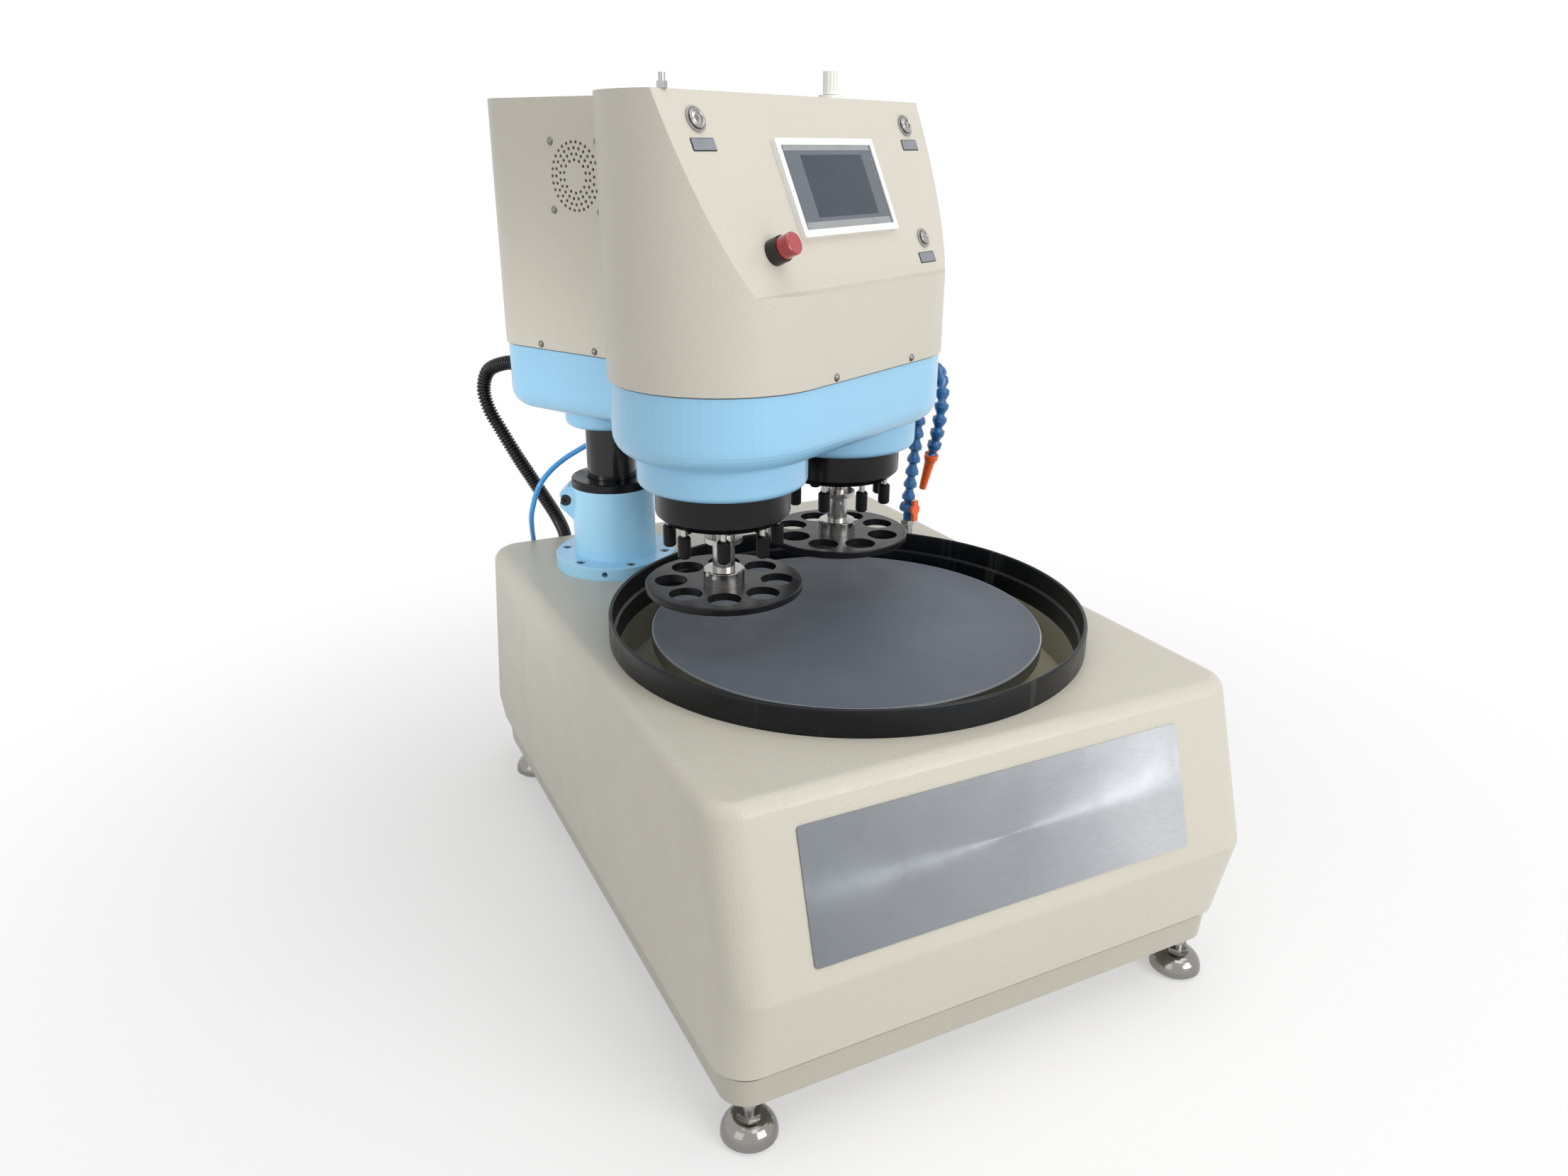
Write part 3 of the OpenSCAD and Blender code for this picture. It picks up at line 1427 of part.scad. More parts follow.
module regulator_knob() {
  low = head_top_z + regulator_nut[1] + face_gap;
  color("white") at_head() translate(regulator_at) difference() {
    rod(knob_size[0], low, low + knob_size[1]);
    for (i = [0:knob_flutes - 1]) rotate(360 * i / knob_flutes) translate([knob_size[0], 0, 0])
      rod(flute_r, low + knob_skirt, low + knob_size[1] + over);
  }
}

module head_fittings() {
  color(black_color) at_head() translate([gland_x, casting_rear, gland_z]) rotate([-90, 0, 0])
    difference() {
      union() {
        cylinder(r = gland_r[0], h = gland_l);
        cylinder(r = gland_r[0] + gland_hex_step, h = gland_l / 3, $fn = 6);
      }
      translate([0, 0, gland_l - gland_socket]) cylinder(r = gland_r[1], h = gland_socket + over);
    }
  color("royalblue") at_head() translate([air_port_at[0], air_port_at[1], head_z - air_port_h])
    difference() {
      cylinder(r = elbow_r, h = air_port_h);
      translate([0, 0, -over]) cylinder(r = elbow_socket_r, h = air_port_h / 2 + over);
    }
  color(steel_color) at_head() translate([port_at[0], port_at[1], head_top_z]) {
    hexagon(2 * port_hex[0], 0, port_hex[1]);
    cylinder(r = port_collar[0], h = port_hex[1] + port_collar[1]);
  }
}

// Pressure pot with a bore for each plunger
module pot(k) {
  color(black_color) at_spindle(k) difference() {
    rotate_extrude($fn = 96)
      polygon([[journal_r, pot_z], [journal_r, pot_low_z], [pot_low_r, pot_low_z],
        [pot_foot[0], pot_low_z + pot_foot[1] * 3 / 4], [pot_foot[0], pot_low_z + pot_foot[1]],
        [pot_r, pot_low_z + pot_foot[1]], [pot_r, pot_z - platen_chamfer],
        [pot_r - platen_chamfer, pot_z]]);
    at_specimens() rod(stem_r + run_gap, pot_low_z - over, pot_low_z + stem_depth + over);
  }
}

// Repeats its children round a holder
module at_specimens() {
  for (i = [0:specimen_count - 1])
    rotate(360 * i / specimen_count) translate([specimen_ring_r, 0, 0]) children();
}

// Shaft with its flange under the pot
module spindle(k) {
  color(steel_color) at_spindle(k) difference() {
    union() {
      rod(journal_r, pot_low_z, head_z + journal_top_h);
      rod(shaft_flange_r, shaft_z, shaft_z + shaft_flange_t);
      rod(shaft_r, holder_z, pot_low_z);
    }
    rotate(shaft_hole_angle) translate([shaft_r - shaft_screw[1], 0, hub_top_z + shaft_slot_h])
      rotate([0, 90, 0]) cylinder(r = shaft_screw[0], h = shaft_flange_r);
  }
}

// Eight plungers: steel stem and black sleeve
module plungers(k) {
  top = pot_low_z + stem_depth;
  low = pot_low_z - sleeve_drop - sleeve_h;
  high = low + sleeve_h;
  color(black_color) at_spindle(k) at_specimens() rotate_extrude($fn = 32)
    polygon([[0, low], [sleeve_r - sleeve_chamfer, low], [sleeve_r, low + sleeve_chamfer],
      [sleeve_r, high - sleeve_chamfer], [sleeve_r - sleeve_chamfer, high],
      [stem_r, high], [stem_r, top], [0, top]]);
}

// Specimen holder with its hub
module holder(k) {
  color(black_color) at_spindle(k) difference() {
    rotate_extrude($fn = 96) polygon([[shaft_r, holder_z], [holder_r - holder_chamfer, holder_z],
      [holder_r, holder_z + holder_chamfer], [holder_r, holder_top_z - holder_chamfer],
      [holder_r - holder_chamfer, holder_top_z], [hub_r, holder_top_z],
      [hub_r, hub_top_z - holder_chamfer], [hub_r - holder_chamfer, hub_top_z],
      [shaft_r, hub_top_z]]);
    at_specimens() rod(specimen_r, holder_z - over, holder_top_z + over);
    translate([shaft_r + over, 0, holder_top_z + hub_h / 2])
      rotate([0, 90, 0]) cylinder(r = hub_screw_r, h = hub_r);
  }
}

module pot_left() pot(0);
module pot_right() pot(1);
module spindle_left() spindle(0);
module spindle_right() spindle(1);
module plungers_left() plungers(0);
module plungers_right() plungers(1);
module holder_left() holder(0);
module holder_right() holder(1);

// Places its children at the middle of the valve's barrel: z along it
module at_barrel() {
  translate([coolant_at[0], coolant_at[1], valve_z + valve_bore_h])
    rotate([0, 90, lever_angle]) children();
}

module coolant_valve() {
  color("royalblue") difference() {
    union() {
      translate(coolant_at) rod(valve_size[0], valve_z, valve_z + valve_size[1] - over);
      at_barrel() rod(valve_barrel[0], -valve_barrel[1], valve_barrel[1]);
    }
    at_barrel() rod(lever_stem_r + run_gap, 0, valve_barrel[1] + over);
  }
}

module valve_lever() {
  low = valve_barrel[1] + lever_gap;
  high = low + lever_disc[1];
  color("orangered") at_barrel() {
    rod(lever_stem_r, seat_gap, high);
    rod(lever_disc[0], low, high);
    translate([-lever_blade[0], -lever_blade[2] / 2, low])
      cube([lever_blade[0] + lever_blade[1], lever_blade[2], lever_disc[1]]);
  }
}

// Slope of link i of the hose in its plane
function link_slope(i) =
  let (bent = max(i - link_counts[0] + 1, 0), last = max(bent - link_counts[1], 0))
  hose_rise - hose_turn * (bent - last) - hose_settle * last;

// Direction of link i of the hose
function link_dir(i) =
  let (ahead = [cos(hose_angle), sin(hose_angle), 0],
    up = [-sin(hose_lean) * ahead[1], sin(hose_lean) * ahead[0], cos(hose_lean)])
  cos(link_slope(i)) * ahead + sin(link_slope(i)) * up;

// Foot of link i of the hose
function link_foot(i) = i == 0
  ? [coolant_at[0], coolant_at[1], valve_z + valve_size[1] + link_start]
  : link_foot(i - 1) + link_pitch * link_dir(i - 1);

// Places its children at the foot of a link, along a direction
module along(foot, d) {
  translate(foot) rotate([0, acos(d[2]), atan2(d[1], d[0])]) children();
}

// Inside and outside of the socket that every link and the nozzle have
function socket_in() = arc([0, 0], socket_r, -link_grip, 90 - asin(link_bore_r / socket_r), 8);
function socket_out() = [[link_r, link_step], [link_r, -link_step / 2],
  [socket_r * cos(link_grip) + over / 2, -socket_r * sin(link_grip)]];

// Socket and ball of one hose link, from the centre of its socket
module hose_link() {
  ball_bore = asin(link_bore_r / link_ball_r);
  rotate_extrude($fn = 32) polygon(concat(socket_in(),
    [[link_bore_r, link_pitch - link_ball_r * cos(ball_bore)]],
    [[link_bore_r, link_pitch + link_ball_r * cos(ball_bore)]],
    arc([0, link_pitch], link_ball_r, 90 - ball_bore, neck_slope, 8),
    [[link_neck_r, socket_r + link_step]], socket_out()));
}

module coolant_hose() {
  low = soft_gap - over - link_start;
  color("royalblue") {
    for (i = [0:link_count - 1]) along(link_foot(i), link_dir(i)) hose_link();
    translate(link_foot(0)) rotate_extrude($fn = 32)
      polygon(concat([[0, low], [link_neck_r, low], [link_neck_r, -link_ball_r * 2 / 3]],
        arc([0, 0], link_ball_r, neck_slope, 60, 8), [[0, link_ball_r * sin(60)]]));
  }
}

module hose_nozzle() {
  color("orangered") along(link_foot(link_count), link_dir(link_count - 1))
    rotate_extrude($fn = 32) polygon(concat(socket_in(),
      [[nozzle_bore_r, nozzle_l], [nozzle_r[1], nozzle_l],
        [nozzle_r[0] - link_step / 2, socket_r + link_step]], socket_out()));
}

module conduit_lower() color(black_color) ribbed_along(conduit_lower_route);
module conduit_upper() color(black_color) ribbed_along(conduit_upper_route);
module air_tube_lower() color("deepskyblue") tube_along(air_lower_route, 28);
module air_tube_upper() color("deepskyblue") tube_along(air_upper_route, 36);

base_cover();
base_plinth();
base_frame();
foot_pads();
foot_studs();
foot_nuts();
name_plate();
drain_bowl();
splash_ring();
platen();
abrasive_sheet();
platen_shaft();
bearing_housing();
platen_bearings();
platen_pulley();
platen_motor();
motor_pulley();
drive_belt();
base_fittings();
column_flange();
column_tube();
column_screws();
column_guide_ring();
lift_ram();
head_casting();
head_cover();
cover_screws();
spindle_motors();
spindle_bearings();
control_board();
fan_frame();
fan_rotor();
screen_bezel();
screen_glass();
button_rings();
button_left();
button_right();
button_lit();
label_plates();
lamp_collar();
lamp_lens();
regulator_body();
regulator_knob();
head_fittings();
pot_left();
pot_right();
spindle_left();
spindle_right();
plungers_left();
plungers_right();
holder_left();
holder_right();
coolant_valve();
valve_lever();
coolant_hose();
hose_nozzle();
conduit_lower();
conduit_upper();
air_tube_lower();
air_tube_upper();
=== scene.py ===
import math
import bpy
from mathutils import Matrix, Vector


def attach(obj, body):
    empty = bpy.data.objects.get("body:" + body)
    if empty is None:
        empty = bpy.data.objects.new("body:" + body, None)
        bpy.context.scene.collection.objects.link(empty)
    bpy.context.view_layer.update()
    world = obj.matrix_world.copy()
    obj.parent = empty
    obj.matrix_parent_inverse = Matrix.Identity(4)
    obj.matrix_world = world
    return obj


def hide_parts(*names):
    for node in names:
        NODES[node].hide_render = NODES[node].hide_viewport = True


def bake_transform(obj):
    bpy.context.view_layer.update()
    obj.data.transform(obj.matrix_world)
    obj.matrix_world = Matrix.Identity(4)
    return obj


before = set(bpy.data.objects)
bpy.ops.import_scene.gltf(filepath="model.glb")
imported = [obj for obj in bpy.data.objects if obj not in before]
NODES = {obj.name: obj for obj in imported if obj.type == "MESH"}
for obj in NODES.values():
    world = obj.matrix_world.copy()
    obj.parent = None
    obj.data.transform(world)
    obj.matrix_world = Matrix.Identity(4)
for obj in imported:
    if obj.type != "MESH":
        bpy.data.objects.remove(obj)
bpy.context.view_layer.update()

scene = bpy.context.scene

# Places and sizes of the part that the pieces here follow, in metres unless a name says otherwise
MM = 0.001
DISC = (0, -0.072, 0)
SHEET_RIM_FROM = 0.1887
SHEET_RIM_TO = 0.1891
COLUMN = (-0.1415, 0.207, 0)
CLAMP_SCREW_Z = 0.34
HEAD_REACH = 0.237
SPINDLE_OUT = 0.095
HUB_R = 0.0275
HOLDER_TOP_Z = 0.3637
SLEEVE_TOP_Z = 0.4195
PANEL_FOOT = (0, -0.083, 0.6346)
PANEL_RUN = 66.5
PANEL_RISE = 151.9
# The next two are height bands of painted shade: where the plinth runs under the base cover, and where the
# casting runs under the head cover
PLINTH_SEAM_SHADE = (0.0708, 0.0775)
CASTING_SEAM_SHADE = (0.5556, 0.5578)
GLAND_ALONG = (-0.031, 0.27, 0)
GLAND_REACH = 0.03
AIR_PORT_TOP_Z = 0.4905
COVER_TOP_Z = 0.7
COOLANT = (0.2019, 0.1341)
COOLANT_R = 0.02
AIR_ELBOW = (-0.200, 0.346)
AIR_NUT_R = 0.0075
AIR_BARB_R = 0.006
AIR_BARB_TOP_Z = 0.262
REAR_HALF_Y = 0.2

# Camera, fitted to the photograph through the rim of the disc
CAMERA_AT = Vector((-0.5234, -0.9761, 0.7483))
CAMERA_RIGHT = Vector((0.8941, -0.4479, 0.0056))
CAMERA_AHEAD = Vector((0.4193, 0.8325, -0.3621))
PHOTO_WIDTH_PX = 2212.0
FOCAL_PX = 1614.73
FILM_WIDTH_MM = 36.0
cam = bpy.data.objects.new("camera", bpy.data.cameras.new("camera"))
scene.collection.objects.link(cam)
right = CAMERA_RIGHT.normalized()
ahead = CAMERA_AHEAD.normalized()
up = right.cross(ahead).normalized()
right = ahead.cross(up).normalized()
place = Matrix((right, up, -ahead)).transposed().to_4x4()
place.translation = CAMERA_AT
cam.matrix_world = place
cam.data.sensor_fit = "HORIZONTAL"
cam.data.sensor_width = FILM_WIDTH_MM
cam.data.lens = FILM_WIDTH_MM * FOCAL_PX / PHOTO_WIDTH_PX
cam.data.clip_start = 0.02
cam.data.clip_end = 60.0
scene.camera = cam

# Colours and material nodes
MIX_AMOUNT, MIX_A, MIX_B, MIX_RESULT = 0, 6, 7, 2
NOISE_LOW, NOISE_HIGH = 0.3, 0.7
BEVEL_SAMPLES = 4
WEAR_R = 0.0007
WEAR_START, WEAR_FULL = 0.02, 0.2
DARK_SHINE = 0.22


def srgb(r, g, b):
    """Linear colour of 8-bit display values."""
    out = []
    for v in (r, g, b):
        v = v / 255.0
        out.append(v / 12.92 if v <= 0.04045 else ((v + 0.055) / 1.055) ** 2.4)
    return (*out, 1.0)


def shade(color, share):
    """A colour at a share of its brightness."""
    return (*(c * share for c in color[:3]), 1)


def paler(color):
    """A colour made lighter, also when it is nearly black."""
    return (*(min(1.0, c * 1.5 + 0.004) for c in color[:3]), 1)


def node_math(tree, op, *values):
    """Result of a sum on sockets or numbers of a node tree."""
    n = tree.nodes.new("ShaderNodeMath")
    n.operation = op
    for socket, value in zip(n.inputs, values):
        if isinstance(value, (int, float)):
            socket.default_value = value
        else:
            tree.links.new(value, socket)
    return n.outputs[0]


class Mat:
    """A principled material and short calls for its nodes."""

    def __init__(self, name, color, rough=0.5, metal=0.0, **sockets):
        self.m = bpy.data.materials.new(name)
        self.m.use_nodes = True
        self.t = self.m.node_tree
        self.b = self.t.nodes["Principled BSDF"]
        self.b.inputs["Base Color"].default_value = color
        self.b.inputs["Roughness"].default_value = rough
        self.b.inputs["Metallic"].default_value = metal
        for key, value in sockets.items():
            self.b.inputs[key.replace("_", " ")].default_value = value
        self.m.diffuse_color = color
        self.color = color
        self._coord = None
        self._normal = None

    def node(self, kind, inputs=None, **attributes):
        """New node with its attributes, and with numbers or links on its inputs."""
        n = self.t.nodes.new(kind)
        for key, value in attributes.items():
            setattr(n, key, value)
        for key, value in (inputs or {}).items():
            if isinstance(value, bpy.types.NodeSocket):
                self.t.links.new(value, n.inputs[key])
            else:
                n.inputs[key].default_value = value
        return n

    @property
    def coord(self):
        if self._coord is None:
            self._coord = self.node("ShaderNodeTexCoord").outputs["Object"]
        return self._coord

    def moved(self, scale=(1, 1, 1), at=(0, 0, 0)):
        """Object coordinates seen from a place that is moved and scaled."""
        inputs = {"Vector": self.coord, "Location": at, "Scale": scale}
        return self.node("ShaderNodeMapping", inputs, vector_type="TEXTURE").outputs["Vector"]

    def along(self, axis):
        """One of the object's own coordinates."""
        return self.node("ShaderNodeSeparateXYZ", {"Vector": self.coord}).outputs[axis]

    def distance(self, coord):
        """Distance of a coordinate from its origin."""
        return self.node("ShaderNodeVectorMath", {0: coord}, operation="LENGTH").outputs["Value"]

    def noise(self, scale, detail=2.0, rough=0.5, warp=0.0, coord=None):
        """Cloudy noise between about 0.3 and 0.7."""
        inputs = {"Vector": coord or self.coord, "Scale": scale, "Detail": detail, "Roughness": rough,
                  "Distortion": warp}
        return self.node("ShaderNodeTexNoise", inputs).outputs["Fac"]

    def cells(self, scale, smooth=None):
        """Distance to the nearest of scattered points, rounded off where smooth is given."""
        kind = "F1" if smooth is None else "SMOOTH_F1"
        n = self.node("ShaderNodeTexVoronoi", {"Vector": self.coord, "Scale": scale}, feature=kind)
        if smooth is not None:
            n.inputs["Smoothness"].default_value = smooth
        return n.outputs["Distance"]

    def ramp(self, value, *stops):
        """Grey value that follows pairs of a place and a grey."""
        n = self.node("ShaderNodeValToRGB", {"Fac": value})
        elements = n.color_ramp.elements
        while len(elements) < len(stops):
            elements.new(0.5)
        for item, (at, grey) in zip(elements, stops):
            item.position = at
            item.color = (grey, grey, grey, 1)
        return n.outputs["Color"]

    def math(self, op, *values):
        return node_math(self.t, op, *values)

    def tint(self, amount, other):
        """Mixes another colour into the base colour where amount is high."""
        base = self.b.inputs["Base Color"]
        old = base.links[0].from_socket if base.links else self.color
        inputs = {MIX_AMOUNT: amount, MIX_A: old, MIX_B: other}
        n = self.node("ShaderNodeMix", inputs, data_type="RGBA")
        self.t.links.new(n.outputs[MIX_RESULT], base)

    def gloss(self, value, low, high):
        """Roughness between low and high as a noise goes over its usual range."""
        inputs = {"Value": value, "From Min": NOISE_LOW, "From Max": NOISE_HIGH, "To Min": low,
                  "To Max": high}
        n = self.node("ShaderNodeMapRange", inputs)
        self.t.links.new(n.outputs["Result"], self.b.inputs["Roughness"])

    def normal_from(self, node):
        """Makes a node the last step of the surface's normal."""
        if self._normal is not None:
            self.t.links.new(self._normal, node.inputs["Normal"])
        self._normal = node.outputs["Normal"]
        self.t.links.new(self._normal, self.b.inputs["Normal"])

    def bevel(self, radius):
        self.normal_from(self.node("ShaderNodeBevel", {"Radius": radius}, samples=BEVEL_SAMPLES))

    def bump(self, value, strength, depth):
        inputs = {"Height": value, "Strength": strength, "Distance": depth}
        self.normal_from(self.node("ShaderNodeBump", inputs))

    def edges(self):
        """High on worn edges: where the rounded normal leaves the true one."""
        soft = self.node("ShaderNodeBevel", {"Radius": WEAR_R}, samples=BEVEL_SAMPLES).outputs["Normal"]
        true = self.node("ShaderNodeNewGeometry").outputs["Normal"]
        same = self.node("ShaderNodeVectorMath", {0: soft, 1: true}, operation="DOT_PRODUCT")
        off = self.math("SUBTRACT", 1.0, same.outputs["Value"])
        return self.ramp(off, (WEAR_START, 0.0), (WEAR_FULL, 1.0))


# Kinds of material
def seam_shade(m, low, high, color):
    """Painted shade: a dark band where a piece runs up under the next one, from height low to high, standing
    in for the shadow in that gap.
    """
    above = m.math("GREATER_THAN", m.along("Z"), low)
    below = m.math("LESS_THAN", m.along("Z"), high)
    m.tint(m.math("MULTIPLY", m.math("MULTIPLY", above, below), 0.85), color)


def powder(name, color, scale=620.0, line=None):
    """Powder coat: orange peel, slightly uneven gloss, dust in the hollows."""
    peel_depth = 0.0006
    m = Mat(name, color, 0.42, IOR=1.5)
    m.bevel(0.0008)
    peel = m.cells(scale, smooth=0.9)
    fine = m.noise(scale * 1.7, 2.0, 0.5)
    m.bump(peel, 0.30, peel_depth)
    m.bump(fine, 0.16, peel_depth * 0.5)
    cloud = m.noise(5.0, 4.0, 0.55)
    m.tint(m.ramp(cloud, (0.40, 0.0), (0.75, 0.22)), shade(color, 0.86))
    m.tint(m.ramp(peel, (0.25, 0.0), (0.8, 0.16)), shade(color, 0.8))
    m.gloss(m.noise(16.0, 3.0, 0.6, 1.5), 0.34, 0.46)
    if line:
        # painted shade band where the piece runs under the next one
        seam_shade(m, *line, srgb(58, 56, 52))
    return m.m


def gloss_paint(name, color, line=None):
    """Smooth sprayed enamel under a clear coat."""
    m = Mat(name, color, 0.36, IOR=1.5, Coat_Weight=0.35, Coat_Roughness=0.16)
    m.bevel(0.0009)
    m.bump(m.noise(260.0, 2.0, 0.5), 0.10, 0.0004)
    cloud = m.noise(6.0, 3.0, 0.5)
    m.tint(m.ramp(cloud, (0.42, 0.0), (0.78, 0.25)), shade(color, 0.9))
    dust = m.noise(900.0, 1.0, 0.5)
    m.tint(m.ramp(dust, (0.70, 0.0), (0.78, 0.3)), srgb(214, 224, 230))
    m.gloss(m.noise(22.0, 4.0, 0.6, 1.0), 0.28, 0.42)
    if line:
        # painted shade band where the piece runs under the next one
        seam_shade(m, *line, srgb(34, 40, 46))
    return m.m


def steel(name, color, rough=0.28, scratch=0.25, polish=False, bevel=0.0004):
    """Steel with fine grain, smudges and, where it isn't polished, scratches."""
    m = Mat(name, color, rough, 1.0)
    m.bevel(bevel)
    grain = m.noise(900.0, 3.0, 0.65)
    if not polish:
        m.bump(grain, scratch, 0.00012)
    m.tint(m.ramp(grain, (0.30, 0.0), (0.8, 0.25)), shade(color, 0.8))
    smear = m.noise(34.0, 4.0, 0.62, 0.8)
    m.tint(m.ramp(smear, (0.50, 0.0), (0.85, 0.18)), shade(color, 0.7))
    m.gloss(smear, rough * 0.75, rough * 1.3)
    return m.m


def turned(name, color, rough, axis_at, pitch=0.0006):
    """Lathe-turned metal: fine rings about an upright axis."""
    m = Mat(name, color, rough, 1.0, Anisotropic=0.4)
    m.bevel(0.0004)
    inputs = {"Vector": m.moved(at=tuple(axis_at)), "Scale": 1.0 / (20.0 * pitch), "Distortion": 0.6,
              "Detail": 2.0}
    rings = m.node("ShaderNodeTexWave", inputs, wave_type="RINGS", rings_direction="Z").outputs["Fac"]
    m.bump(rings, 0.03, 0.00002)
    m.tint(m.ramp(rings, (0.35, 0.0), (0.9, 0.22)), shade(color, 0.7))
    smear = m.noise(38.0, 3.0, 0.6, 0.6)
    m.tint(m.ramp(smear, (0.5, 0.0), (0.85, 0.08)), shade(color, 0.7))
    m.gloss(smear, rough * 0.8, rough * 1.35)
    return m.m


def plastic(name, color, rough=0.4, grain=1400.0, depth=0.0001, worn=None, edge=0.0004, coat=0.0, scuffs=0.0,
            shine=0.5):
    """Moulded plastic: fine grain, uneven gloss, paler worn edges and scuffs."""
    m = Mat(name, color, rough, IOR=1.48, Coat_Weight=coat, Coat_Roughness=0.2, Specular_IOR_Level=shine)
    m.bevel(edge)
    m.bump(m.noise(grain, 2.0, 0.6), 0.12, depth)
    smear = m.noise(30.0, 4.0, 0.6, 1.0)
    m.gloss(smear, rough * 0.8, rough * 1.25)
    m.tint(m.ramp(smear, (0.45, 0.0), (0.9, 0.35)), paler(color))
    if worn:
        patches = m.ramp(m.noise(90.0, 3.0, 0.7), (0.42, 0.0), (0.62, 0.75))
        m.tint(m.math("MULTIPLY", m.edges(), patches), worn)
    if scuffs:
        around = m.noise(70.0, 5.0, 0.75, 0.6, coord=m.moved(scale=(1.0, 1.0, 0.05)))
        upright = m.noise(16.0, 5.0, 0.75, 0.4, coord=m.moved(scale=(1.0, 1.0, 14.0)))
        m.tint(m.ramp(around, (0.60, 0.0), (0.72, scuffs)), srgb(96, 96, 94))
        m.tint(m.ramp(upright, (0.58, 0.0), (0.70, scuffs)), srgb(112, 112, 108))
    return m.m


def dull_rubber(name, color, rough=0.6):
    """Rubber or nylon with fine grain and pale rubbed patches."""
    m = Mat(name, color, rough, IOR=1.45)
    m.bump(m.noise(1500.0, 2.0, 0.6), 0.3, 0.0001)
    m.tint(m.ramp(m.noise(120.0, 4.0, 0.7), (0.5, 0.0), (0.85, 0.25)), srgb(70, 70, 70))
    m.gloss(m.noise(60.0, 3.0, 0.6), rough * 0.7, rough * 1.15)
    return m.m


def air_tube():
    """Blue polyurethane tube."""
    m = Mat("air_tube_pu", srgb(72, 168, 238), 0.24, IOR=1.5, Coat_Weight=0.3, Coat_Roughness=0.15,
            Subsurface_Weight=0.15, Subsurface_Scale=0.004)
    m.bump(m.noise(240.0, 2.0, 0.5), 0.06, 0.0002)
    m.tint(m.ramp(m.noise(40.0, 3.0, 0.6), (0.4, 0.0), (0.8, 0.4)), srgb(60, 150, 222))
    return m.m


def black_chrome():
    """Dark polished ram with faint smears of oil."""
    m = Mat("ram_black_chrome", srgb(20, 20, 22), 0.18, 0.0, Coat_Weight=0.5, Coat_Roughness=0.08,
            Specular_IOR_Level=DARK_SHINE)
    m.tint(m.ramp(m.noise(30.0, 4.0, 0.6, 1.0), (0.5, 0.0), (0.9, 0.4)), srgb(40, 40, 43))
    m.gloss(m.noise(50.0, 3.0, 0.6, 1.0), 0.14, 0.28)
    return m.m


def brushed_plate_with_painted_reflection():
    """Bare plate with grain drawn along its length, a little cloudy, and a painted reflection that darkens it
    towards the left.
    """
    m = Mat("plate_brushed_painted_reflection", srgb(216, 219, 222), 0.30, 1.0, Anisotropic=0.6)
    drawn = m.moved(scale=(0.09, 0.004, 0.004))
    lines = m.noise(9.0, 5.0, 0.75, coord=drawn)
    m.bump(m.noise(26.0, 3.0, 0.7, coord=drawn), 0.22, 0.00008)
    # Painted reflection: the colour darkens towards the left, standing in for darker surroundings mirrored
    # there
    across = m.math("MULTIPLY_ADD", m.along("X"), 2.6, 0.5)
    m.tint(m.ramp(across, (0.02, 0.92), (0.52, 0.62), (0.86, 0.0)), srgb(126, 131, 137))
    m.tint(m.ramp(lines, (0.32, 0.0), (0.70, 0.36)), srgb(120, 124, 130))
    m.tint(m.ramp(m.noise(7.0, 3.0, 0.5), (0.45, 0.0), (0.8, 0.3)), srgb(140, 144, 150))
    m.gloss(m.noise(20.0, 4.0, 0.6, 0.6), 0.24, 0.38)
    return m.m


def abrasive():
    """Abrasive sheet: close grit, cloudy wear and a pale cut edge."""
    m = Mat("sheet_grit", srgb(84, 92, 104), 0.52, IOR=1.5, Sheen_Weight=0.12, Sheen_Roughness=0.4)
    grit = m.cells(2600.0)
    m.bump(grit, 0.5, 0.00018)
    m.tint(m.ramp(grit, (0.18, 0.0), (0.62, 0.5)), srgb(62, 68, 80))
    m.tint(m.ramp(m.noise(2900.0, 1.0, 0.5), (0.60, 0.0), (0.66, 0.55)), srgb(136, 142, 152))
    m.tint(m.ramp(m.noise(9.0, 5.0, 0.6, 0.8), (0.42, 0.0), (0.74, 0.30)), srgb(104, 110, 120))
    flat = m.node("ShaderNodeVectorMath", {0: m.moved(at=DISC), 1: (1, 1, 0)}, operation="MULTIPLY")
    to_ramp = 5.0
    radius = m.math("MULTIPLY", m.distance(flat.outputs[0]), to_ramp)
    rim = m.ramp(radius, (SHEET_RIM_FROM * to_ramp, 0.0), (SHEET_RIM_TO * to_ramp, 0.85))
    m.tint(rim, srgb(178, 182, 186))
    m.gloss(m.noise(12.0, 4.0, 0.6, 0.5), 0.44, 0.58)
    return m.m


def screen_front():
    """Grey front sheet of the screen."""
    m = Mat("screen_front", srgb(92, 100, 108), 0.14, IOR=1.45, Coat_Weight=0.1, Coat_Roughness=0.05)
    m.tint(m.ramp(m.noise(24.0, 3.0, 0.6, 0.6), (0.45, 0.0), (0.85, 0.3)), srgb(80, 88, 98))
    m.gloss(m.noise(60.0, 4.0, 0.65, 1.0), 0.10, 0.2)
    return m.m


def screen_lcd():
    """Dark display that is switched off, with smudges."""
    m = Mat("screen_lcd", srgb(44, 52, 66), 0.16, IOR=1.45, Coat_Weight=0.1, Coat_Roughness=0.06)
    m.tint(m.ramp(m.noise(14.0, 3.0, 0.6, 0.5), (0.4, 0.0), (0.8, 0.5)), srgb(56, 65, 80))
    m.tint(m.ramp(m.noise(1800.0, 1.0, 0.5), (0.55, 0.0), (0.7, 0.25)), srgb(40, 46, 54))
    m.gloss(m.noise(70.0, 4.0, 0.6, 1.0), 0.12, 0.26)
    return m.m


def red_lens():
    """Red lens with a cell pattern inside."""
    m = Mat("lamp_red", srgb(172, 20, 36), 0.12, IOR=1.49, Coat_Weight=1.0, Coat_Roughness=0.04,
            Subsurface_Weight=0.25, Subsurface_Scale=0.004)
    m.bump(m.cells(420.0), 0.25, 0.0004)
    m.tint(m.ramp(m.noise(160.0, 3.0, 0.6, 0.6), (0.42, 0.0), (0.72, 0.7)), srgb(128, 10, 24))
    return m.m


